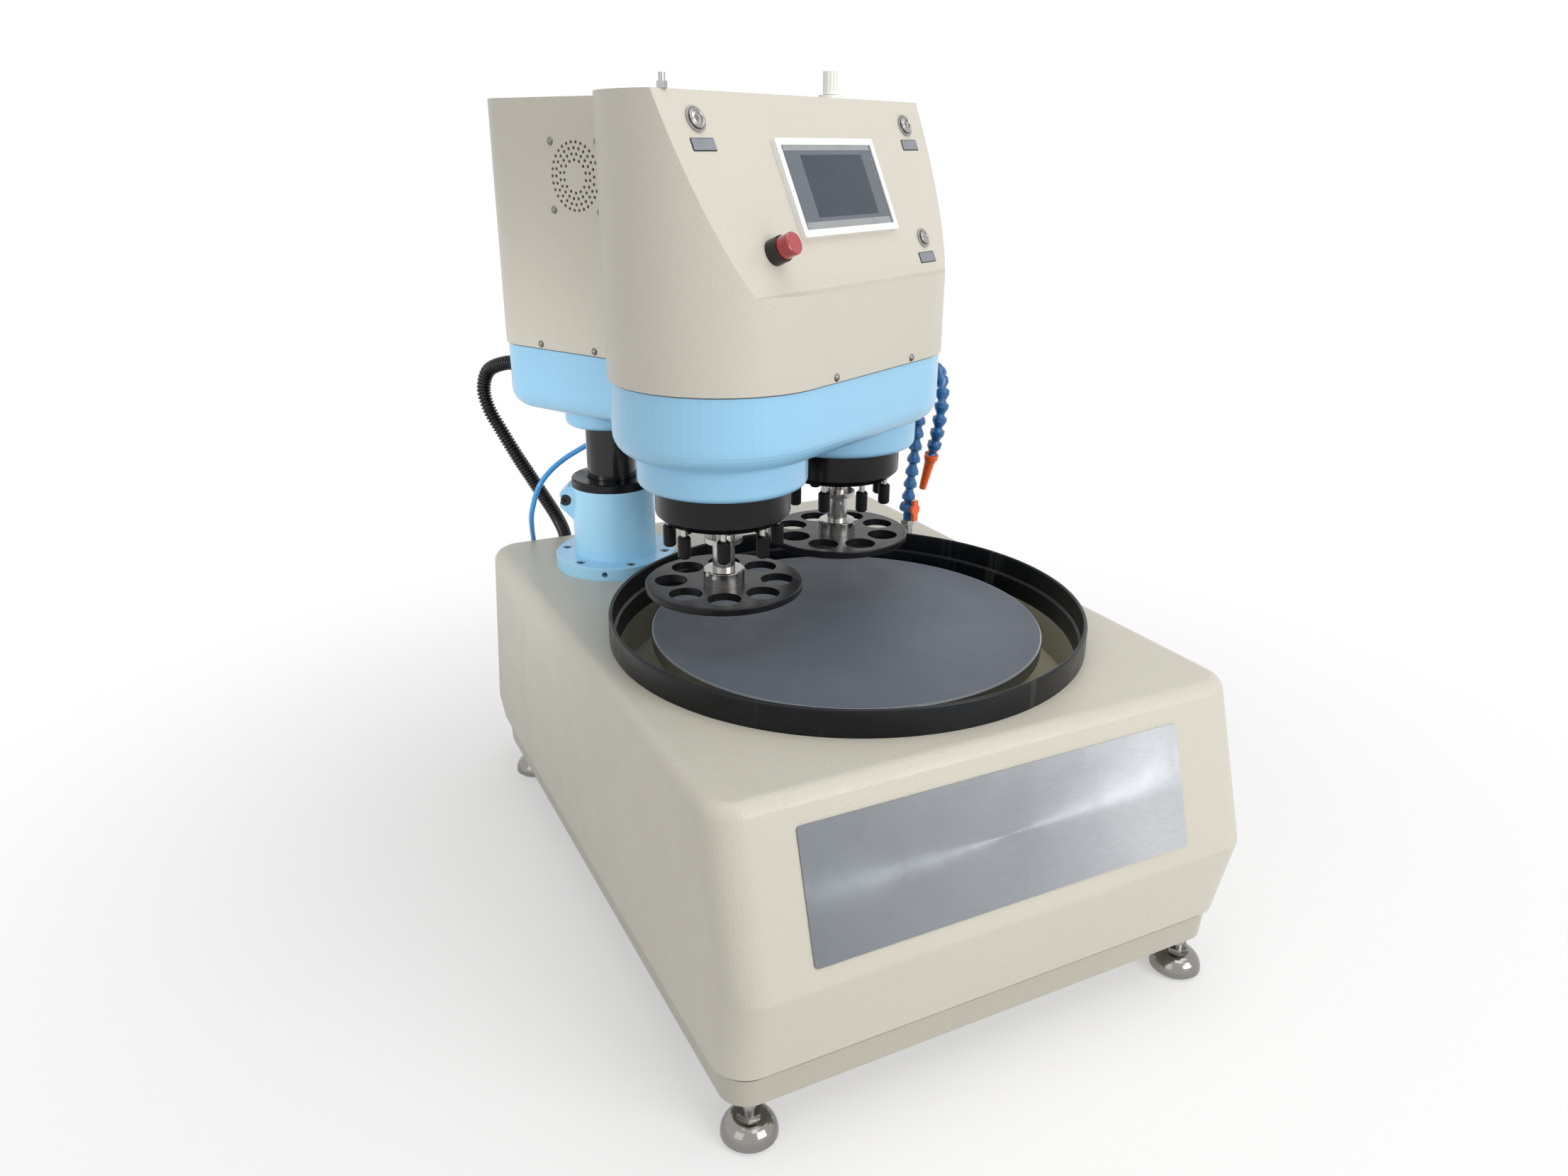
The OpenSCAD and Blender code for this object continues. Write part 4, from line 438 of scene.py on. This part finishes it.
def label_steel():
    """Small brushed plates under the buttons."""
    m = Mat("label_steel", srgb(150, 153, 160), 0.34, 0.85)
    drawn = m.moved(scale=(0.06, 0.06, 0.004))
    m.bump(m.noise(14.0, 4.0, 0.7, coord=drawn), 0.15, 0.00005)
    m.tint(m.ramp(m.noise(60.0, 4.0, 0.65), (0.42, 0.0), (0.8, 0.4)), srgb(120, 124, 132))
    m.gloss(m.noise(50.0, 3.0, 0.6), 0.28, 0.42)
    return m.m


# Frames of the head, of its sloped panel and of the spindles
HEAD = (Matrix.Translation(COLUMN) @ Matrix.Rotation(math.atan2(-COLUMN[0], COLUMN[1] - DISC[1]), 4, "Z")
        @ Matrix.Translation((0, -HEAD_REACH, 0)))
PANEL = (HEAD @ Matrix.Translation(PANEL_FOOT)
         @ Matrix.Rotation(math.radians(90) - math.atan2(PANEL_RUN, PANEL_RISE), 4, "X"))
SPINDLES = {"left": HEAD @ Vector((-SPINDLE_OUT, 0, 0)), "right": HEAD @ Vector((SPINDLE_OUT, 0, 0))}

# Cords: routes in millimetres that follow the part's source; both halves of a line share the point
# where it is parted, and the next two points of the blue tube lie where they round its bend
ROUTES = {
    "conduit_lower": [[-158, 357, 247], [-158, 357, 268], [-162, 345, 297], [-174, 332, 325],
                      [-190, 327, 355], [-206, 326, 385]],
    "conduit_upper": [[-206, 326, 385], [-218, 325.3, 407.4], [-232, 329, 437], [-243, 333, 462],
                      [-247, 335, 486], [-241, 328, 508], [-226, 304, 519], [-217, 287, 519],
                      [-209, 271, 519]],
    "air_tube_lower": [[-200, 346, 262], [-200, 346, 278], [-205, 330, 303], [-211, 308, 325],
                       [-214, 292, 345], [-210, 287, 365]],
    "air_tube_upper": [[-210, 287, 365], [-203.5, 284.0, 381.0], [-190, 284, 396], [-172, 283, 409],
                       [-150, 277, 422], [-128, 268, 435], [-113, 261, 450], [-105.6, 257.7, 468],
                       [-105.6, 257.7, 476], [-105.6, 257.7, 483]],
}
ROUTE_STEPS = 24
RIB_PITCH = 0.0038
RIB_RADII = (0.0058, 0.0060, 0.0074, 0.0079, 0.0079, 0.0079, 0.0074, 0.0060)
CONDUIT_SIDES = 28
AIR_R = 0.003
AIR_RINGS = 150
AIR_SIDES = 20


def smooth_route(route):
    """Fine points of the curve through a route, in metres."""
    p = [Vector(q) / 1000.0 for q in route]
    n = len(p) - 1
    out = []
    for i in range(n):
        a, b, c, d = p[max(i - 1, 0)], p[i], p[i + 1], p[min(i + 2, n)]
        leave, arrive = (c - a) / 2, (d - b) / 2
        for s in range(ROUTE_STEPS):
            t = s / ROUTE_STEPS
            out.append((2 * t ** 3 - 3 * t ** 2 + 1) * b + (t ** 3 - 2 * t ** 2 + t) * leave
                       + (3 * t ** 2 - 2 * t ** 3) * c + (t ** 3 - t ** 2) * arrive)
    out.append(p[n])
    return out


def lengths_along(points):
    """Length of a line from its start to each of its points."""
    sums = [0.0]
    for a, b in zip(points, points[1:]):
        sums.append(sums[-1] + (b - a).length)
    return sums


def even(points, count):
    """Points at even lengths along a line."""
    sums = lengths_along(points)
    out, j = [], 0
    for i in range(count + 1):
        s = sums[-1] * i / count
        while j < len(sums) - 2 and sums[j + 1] < s:
            j += 1
        out.append(points[j].lerp(points[j + 1], (s - sums[j]) / (sums[j + 1] - sums[j])))
    return out


def mesh_object(name, verts, faces, material, body, smooth=True):
    """New piece that rides on a body, unless the body is None."""
    me = bpy.data.meshes.new(name)
    me.from_pydata([tuple(v) for v in verts], [], faces)
    me.update()
    for p in me.polygons:
        p.use_smooth = smooth
    me.materials.append(material)
    o = bpy.data.objects.new(name, me)
    scene.collection.objects.link(o)
    if body:
        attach(o, body)
    return o


def tube(name, path, radii, sides, material):
    """Closed tube whose radius changes from ring to ring."""
    n = len(path)
    way = (path[1] - path[0]).normalized()
    side = way.orthogonal().normalized()
    verts, faces = [], []
    for i, q in enumerate(path):
        now = (path[min(i + 1, n - 1)] - path[max(i - 1, 0)]).normalized()
        side = (way.rotation_difference(now) @ side).normalized()
        way = now
        across = way.cross(side)
        for k in range(sides):
            a = 2 * math.pi * k / sides
            verts.append(q + radii[i] * (math.cos(a) * side + math.sin(a) * across))
    for i in range(n - 1):
        for k in range(sides):
            j = (k + 1) % sides
            faces.append((i * sides + k, i * sides + j, (i + 1) * sides + j, (i + 1) * sides + k))
    faces.append(tuple(reversed(range(sides))))
    faces.append(tuple((n - 1) * sides + k for k in range(sides)))
    return mesh_object(name, verts, faces, material, None)


conduit_mat = dull_rubber("conduit_nylon", srgb(12, 12, 13), 0.2)
air_mat = air_tube()
for name, route in ROUTES.items():
    fine = smooth_route(route)
    length = lengths_along(fine)[-1]
    if name.startswith("conduit"):
        rings = int(length / RIB_PITCH) * len(RIB_RADII)
        path = even(fine, rings)
        radii = [RIB_RADII[i % len(RIB_RADII)] for i in range(rings + 1)]
        piece = tube(name + "_hose", path, radii, CONDUIT_SIDES, conduit_mat)
    else:
        path = even(fine, AIR_RINGS)
        radii = [AIR_R] * len(path)
        piece = tube(name + "_hose", path, radii, AIR_SIDES, air_mat)
    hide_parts(name)
    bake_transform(piece)

# Materials
beige = powder("powder_beige", srgb(203, 198, 184))
# Painted shade: the plinth's beige is a darker copy of the cover's beige, standing in for the shade under the
# cover, with a painted shade band at its top
beige_plinth_painted_shade = powder("powder_plinth_painted_shade", srgb(186, 181, 167), line=PLINTH_SEAM_SHADE)
beige_head = powder("powder_beige_head", srgb(205, 200, 187), scale=560.0)
# Painted light: the column's blue is a lighter copy of the casting's blue, making up for the shadow the head
# casts on the column
blue_column_painted_light = gloss_paint("enamel_column_painted_light", srgb(164, 218, 247))
blue_casting = gloss_paint("enamel_casting", srgb(150, 204, 236), line=CASTING_SEAM_SHADE)
bowl_mat = plastic("bowl_shell", srgb(176, 172, 150), rough=0.36, grain=500.0, depth=0.0002, coat=0.1)
ring_mat = plastic("ring_black", srgb(14, 16, 20), rough=0.32, grain=900.0, worn=srgb(96, 97, 99),
                   edge=0.0008, coat=0.1, scuffs=0.35, shine=DARK_SHINE)
black = plastic("satin_black", srgb(22, 22, 24), rough=0.34, grain=1600.0, depth=0.00008,
                worn=srgb(92, 92, 92))
anodised = plastic("anodised_black", srgb(11, 11, 13), rough=0.24, grain=2400.0, depth=0.00003,
                   worn=srgb(90, 90, 92), coat=0.15, shine=DARK_SHINE)
holder_mat = plastic("holder_graphite", srgb(24, 24, 27), rough=0.26, grain=2400.0, depth=0.00001,
                     worn=srgb(46, 46, 48), edge=0.0005, coat=0.06, shine=DARK_SHINE)
sleeve_mat = plastic("sleeve_rubber", srgb(13, 13, 14), rough=0.36, grain=1500.0, edge=0.0006,
                     shine=DARK_SHINE)
ram_mat = black_chrome()
blue_link = plastic("link_blue", srgb(18, 92, 148), rough=0.24, grain=900.0, depth=0.00006,
                    worn=srgb(90, 150, 190), edge=0.0005, coat=0.35)
orange = plastic("nozzle_orange", srgb(246, 98, 28), rough=0.34, grain=900.0, edge=0.0005, coat=0.2)
white = plastic("white_moulding", srgb(236, 237, 234), rough=0.34, depth=0.00006, edge=0.0006, coat=0.2)
knob_white = plastic("knob_white", srgb(240, 240, 236), rough=0.36, depth=0.00006, coat=0.2)
motor_mat = plastic("motor_enamel", srgb(38, 40, 44), rough=0.38, grain=700.0, depth=0.0002)
board_mat = plastic("board_green", srgb(28, 92, 58), rough=0.34, grain=800.0, edge=0.0002)
strip = plastic("screen_strip", srgb(144, 147, 149), rough=0.3, grain=1500.0, depth=0.00003, edge=0.0002,
                coat=0.3)
led = plastic("led_off", srgb(118, 128, 128), rough=0.25, grain=2000.0, depth=0.00002, edge=0.0001, coat=0.3)
belt_mat = dull_rubber("belt_rubber", srgb(28, 28, 28))
steel_plain = steel("steel_machined", srgb(178, 178, 178), rough=0.24)
steel_screw = steel("steel_screw", srgb(128, 126, 122), rough=0.26, scratch=0.1)
steel_polish = steel("steel_polished", srgb(150, 147, 142), rough=0.14, polish=True, bevel=0.0006)
steel_button = steel("steel_button", srgb(172, 170, 168), rough=0.22, scratch=0.1)
# Painted light: the dish is a lighter copy of the button steel so that the concave dish reads bright
steel_dish_painted_light = steel("steel_dish_painted_light", srgb(182, 180, 176), rough=0.2, scratch=0.1)
steel_bearing = steel("steel_bearing", srgb(206, 206, 204), rough=0.12, polish=True)
steel_dark = steel("steel_blackened", srgb(58, 58, 60), rough=0.36, scratch=0.15)
alloy = steel("alloy_cast", srgb(186, 188, 190), rough=0.38, scratch=0.2)
iron = steel("iron_housing", srgb(92, 94, 96), rough=0.5, scratch=0.3)
turned_steel = {key: turned("turned_" + key, srgb(186, 184, 180), rough=0.2, axis_at=axis)
                for key, axis in (*SPINDLES.items(), ("platen", DISC))}
disc_alloy = turned("disc_alloy", srgb(190, 192, 194), rough=0.3, axis_at=DISC, pitch=0.0009)


# Materials of the solids
def dress(node, *mats, pick=None):
    """Gives a node its materials; pick(centre) names which one a face takes."""
    o = NODES[node]
    o.data.materials.clear()
    for m in mats:
        o.data.materials.append(m)
    for p in o.data.polygons:
        p.material_index = pick(p.center) if pick else 0


def off_axis(point, axis):
    """Distance of a point from an upright axis."""
    return math.hypot(point[0] - axis[0], point[1] - axis[1])


PLAIN = {
    "base_cover": beige, "base_plinth": beige_plinth_painted_shade, "base_frame": steel_plain, "foot_pads": steel_polish,
    "foot_studs": steel_plain, "foot_nuts": steel_plain, "name_plate": brushed_plate_with_painted_reflection(),
    "drain_bowl": bowl_mat, "splash_ring": ring_mat, "platen": disc_alloy, "abrasive_sheet": abrasive(),
    "platen_shaft": turned_steel["platen"], "bearing_housing": iron, "platen_bearings": steel_bearing,
    "platen_pulley": alloy, "platen_motor": motor_mat, "motor_pulley": steel_plain, "drive_belt": belt_mat,
    "column_flange": blue_column_painted_light, "column_tube": blue_column_painted_light, "column_guide_ring": anodised,
    "lift_ram": ram_mat, "head_casting": blue_casting, "head_cover": beige_head, "cover_screws": steel_screw,
    "spindle_motors": motor_mat, "spindle_bearings": steel_bearing, "control_board": board_mat,
    "fan_frame": black, "fan_rotor": black, "screen_bezel": white, "screen_glass": screen_front(),
    "button_rings": steel_button, "button_left": steel_button, "button_right": steel_button,
    "button_lit": steel_button, "label_plates": label_steel(), "lamp_collar": black, "lamp_lens": red_lens(),
    "regulator_body": white, "regulator_knob": knob_white, "pot_left": anodised, "pot_right": anodised,
    "spindle_left": turned_steel["left"], "spindle_right": turned_steel["right"],
    "coolant_valve": blue_link, "valve_lever": orange, "coolant_hose": blue_link, "hose_nozzle": orange,
}
for node, mat in PLAIN.items():
    dress(node, mat)

dress("column_screws", steel_dark, steel_screw, pick=lambda c: 0 if c.z > CLAMP_SCREW_Z else 1)
for key, axis in SPINDLES.items():
    dress("holder_" + key, holder_mat, turned_steel[key],
          pick=lambda c, axis=axis: 1 if off_axis(c, axis) < HUB_R and c.z > HOLDER_TOP_Z else 0)
    dress("plungers_" + key, sleeve_mat, turned_steel[key], pick=lambda c: 1 if c.z > SLEEVE_TOP_Z else 0)


def head_fitting(c):
    """Steel for the fitting on the cover, blue for the air port, black for the conduit's gland."""
    if c.z > COVER_TOP_Z:
        return 1
    return 2 if c.z < AIR_PORT_TOP_Z and off_axis(c, HEAD @ Vector(GLAND_ALONG)) > GLAND_REACH else 0


def base_fitting(c):
    """Steel for the coolant fitting, blue for the air elbow, black for the rest."""
    if off_axis(c, COOLANT) < COOLANT_R:
        return 1
    barb = abs(c.x - AIR_ELBOW[0]) < AIR_BARB_R and c.y > REAR_HALF_Y and c.z < AIR_BARB_TOP_Z
    return 2 if barb or off_axis(c, AIR_ELBOW) < AIR_NUT_R else 0


dress("head_fittings", black, steel_plain, blue_link, pick=head_fitting)
dress("base_fittings", black, steel_plain, blue_link, pick=base_fitting)


# Small pieces on the panel, in millimetres of the panel's own frame
def rounded(w, h, r, steps=5):
    """Corners of a rounded rectangle about the origin."""
    out = []
    for cx, cy, start in ((w / 2 - r, h / 2 - r, 0), (-w / 2 + r, h / 2 - r, 90),
                          (-w / 2 + r, -h / 2 + r, 180), (w / 2 - r, -h / 2 + r, 270)):
        for i in range(steps + 1):
            a = math.radians(start + 90 * i / steps)
            out.append((cx + r * math.cos(a), cy + r * math.sin(a)))
    return out


def on_panel(x, y, z):
    """Place in metres of a point of the panel."""
    return PANEL @ Vector((x * MM, y * MM, z * MM))


def pad(name, at, size, r, low, high, material, chamfer=0.2):
    """Rounded flat piece with a chamfered rim, on the head."""
    smallest_r = 0.2
    verts = []
    for z, inset in ((low, 0.0), (high - chamfer, 0.0), (high, chamfer)):
        corners = rounded(size[0] - 2 * inset, size[1] - 2 * inset, max(r - inset, smallest_r))
        verts += [on_panel(at[0] + x, at[1] + y, z) for x, y in corners]
    n = len(verts) // 3
    faces = [tuple(reversed(range(n))), tuple(2 * n + i for i in range(n))]
    for k in range(2):
        for i in range(n):
            j = (i + 1) % n
            faces.append((k * n + i, k * n + j, (k + 1) * n + j, (k + 1) * n + i))
    mesh_object(name, verts, faces, material, "head", smooth=False)


def lathe(name, at, profile, material, body, sides=48):
    """Turned piece about the panel's normal, from pairs of radius and height."""
    verts, faces = [], []
    for r, z in profile:
        for k in range(sides):
            a = 2 * math.pi * k / sides
            verts.append(on_panel(at[0] + r * math.cos(a), at[1] + r * math.sin(a), z))
    n = len(profile)
    for i in range(n):
        for k in range(sides):
            j, m = (k + 1) % sides, (i + 1) % n
            faces.append((i * sides + k, i * sides + j, m * sides + j, m * sides + k))
    mesh_object(name, verts, faces, material, body)


# Screen: strips above and below the display, the display and three lamps beside it
SCREEN_FACE = 4.0
SCREEN_SUNK = SCREEN_FACE - 0.2
SCREEN_CORNER_R = 0.6
STRIPS = {"top": ((7.5, 118.6), (132, 4.6)), "bottom": ((7.5, 51.6), (132, 6.6))}
for key, (at, size) in STRIPS.items():
    pad("screen_strip_" + key, at, size, SCREEN_CORNER_R, SCREEN_SUNK, SCREEN_FACE + 0.25, strip)
pad("screen_lcd_area", (10, 85.4), (94, 54.2), SCREEN_CORNER_R, SCREEN_SUNK, SCREEN_FACE + 0.2,
    screen_lcd())
LED_TOP = (72.5, 108.0)
LED_STEP = 6.5
LED_SIZE = (2.2, 2.2)
LED_CORNER_R = 1.0
for i in range(3):
    pad(f"screen_led_{i}", (LED_TOP[0], LED_TOP[1] - LED_STEP * i), LED_SIZE, LED_CORNER_R, SCREEN_SUNK,
        SCREEN_FACE + 0.3, led, chamfer=0.3)

# Steel buttons: a raised rim round a shallow dish, and a dark gasket in the gap of the ring
BUTTONS = {"left": ((-153.7, 142.4), 8.0), "right": ((156.8, 142.0), 8.0), "lit": ((126.4, 32.2), 6.2)}
CAP_Z = 2.75
DISH_HOLE_R = 0.2
GASKET_LOW, GASKET_HIGH = 1.75, 1.95
for key, (at, r) in BUTTONS.items():
    rim = [(r - 0.1, CAP_Z), (r - 0.15, 3.1), (r - 0.5, 3.3), (r - 1.1, 3.25), (r - 1.5, 3.0),
           (r - 1.7, CAP_Z)]
    dish = [(r - 2.0, CAP_Z), (r - 2.05, 2.95), (r - 2.6, 2.92), (r - 4.2, 2.84), (DISH_HOLE_R, 2.82),
            (DISH_HOLE_R, CAP_Z)]
    inner, outer = r + 0.45, r + 0.8
    gasket = [(inner, GASKET_LOW), (inner, GASKET_HIGH), (outer, GASKET_HIGH), (outer, GASKET_LOW)]
    lathe("button_rim_" + key, at, rim, steel_button, "button_" + key)
    lathe("button_dish_" + key, at, dish, steel_dish_painted_light, "button_" + key)
    lathe("button_seal_" + key, at, gasket, black, "head")

# Dark card under each label plate
LABELS = ((-153.2, 122.7), (155.8, 123.0), (124.2, 13.8))
CARD = (28.6, 10.6)
CARD_CORNER_R = 1.2
CARD_LOW, CARD_HIGH = -0.1, 0.3
for i, at in enumerate(LABELS):
    pad(f"label_card_{i}", at, CARD, CARD_CORNER_R, CARD_LOW, CARD_HIGH, black, chamfer=0.1)


# Floor, world and lamps
def backdrop_rays(tree):
    """1 for the rays that show the white background, 0 for the rays that light the object."""
    rays = tree.nodes.new("ShaderNodeLightPath").outputs
    seen = node_math(tree, "MAXIMUM", rays["Is Camera Ray"], rays["Is Glossy Ray"])
    return node_math(tree, "MAXIMUM", seen, rays["Is Transmission Ray"])


def white_floor():
    """Pale floor that keeps the shadow and turns into the white background further out."""
    m = Mat("floor_pale", (0.90, 0.90, 0.90, 1.0), 0.9, Specular_IOR_Level=0.1)
    inputs = {"Value": m.distance(m.coord), "From Min": 0.35, "From Max": 1.15, "To Min": 0.42, "To Max": 1.0}
    fade = m.node("ShaderNodeMapRange", inputs, interpolation_type="SMOOTHSTEP").outputs["Result"]
    glow = m.node("ShaderNodeEmission").outputs[0]
    share = m.math("MULTIPLY", fade, backdrop_rays(m.t))
    mixed = m.node("ShaderNodeMixShader", {0: share, 1: m.b.outputs[0], 2: glow})
    m.t.links.new(mixed.outputs[0], m.t.nodes["Material Output"].inputs["Surface"])
    return m.m


FLOOR_HALF = 30
FLOOR_DROP = 0.0002
me = bpy.data.meshes.new("floor")
corners = [(x * FLOOR_HALF, y * FLOOR_HALF, 0) for x, y in ((-1, -1), (1, -1), (1, 1), (-1, 1))]
me.from_pydata(corners, [], [(0, 1, 2, 3)])
floor = bpy.data.objects.new("floor", me)
me.materials.append(white_floor())
scene.collection.objects.link(floor)
floor.location.z = -FLOOR_DROP

ROOM_LIGHT = 0.47
world = bpy.data.worlds.new("studio")
scene.world = world
world.use_nodes = True
wt = world.node_tree
wt.nodes.clear()
out = wt.nodes.new("ShaderNodeOutputWorld")
back = wt.nodes.new("ShaderNodeBackground")
strength = wt.nodes.new("ShaderNodeMapRange")
wt.links.new(backdrop_rays(wt), strength.inputs["Value"])
strength.inputs["To Min"].default_value = ROOM_LIGHT
strength.inputs["To Max"].default_value = 1.0
wt.links.new(strength.outputs["Result"], back.inputs["Strength"])
back.inputs["Color"].default_value = (1, 1, 1, 1)
wt.links.new(back.outputs[0], out.inputs["Surface"])


def soft_light(name, at, to, size, power):
    """Rectangular lamp that looks from one place to another."""
    data = bpy.data.lights.new(name, "AREA")
    data.shape = "RECTANGLE"
    data.size, data.size_y = size
    data.energy = power
    o = bpy.data.objects.new(name, data)
    scene.collection.objects.link(o)
    o.location = at
    o.rotation_euler = (Vector(to) - Vector(at)).to_track_quat("-Z", "Y").to_euler()
    return o


soft_light("light_top", at=(0.3, -0.5, 2.6), to=(0, 0, 0.4), size=(2.2, 2.2), power=23)
soft_light("light_left", at=(-2.2, -1.0, 1.5), to=(0, 0, 0.4), size=(1.4, 1.8), power=6)
soft_light("light_front", at=(1.0, -2.5, 1.4), to=(0, 0, 0.3), size=(1.6, 1.2), power=34)
column_light = soft_light("light_column", at=(-0.85, 0.0, 0.62), to=(-0.1, 0.26, 0.42), size=(0.3, 0.3),
                          power=0.16)
column_light.data.spread = math.radians(40)
column_light.visible_camera = False

scene.view_settings.view_transform = "Standard"
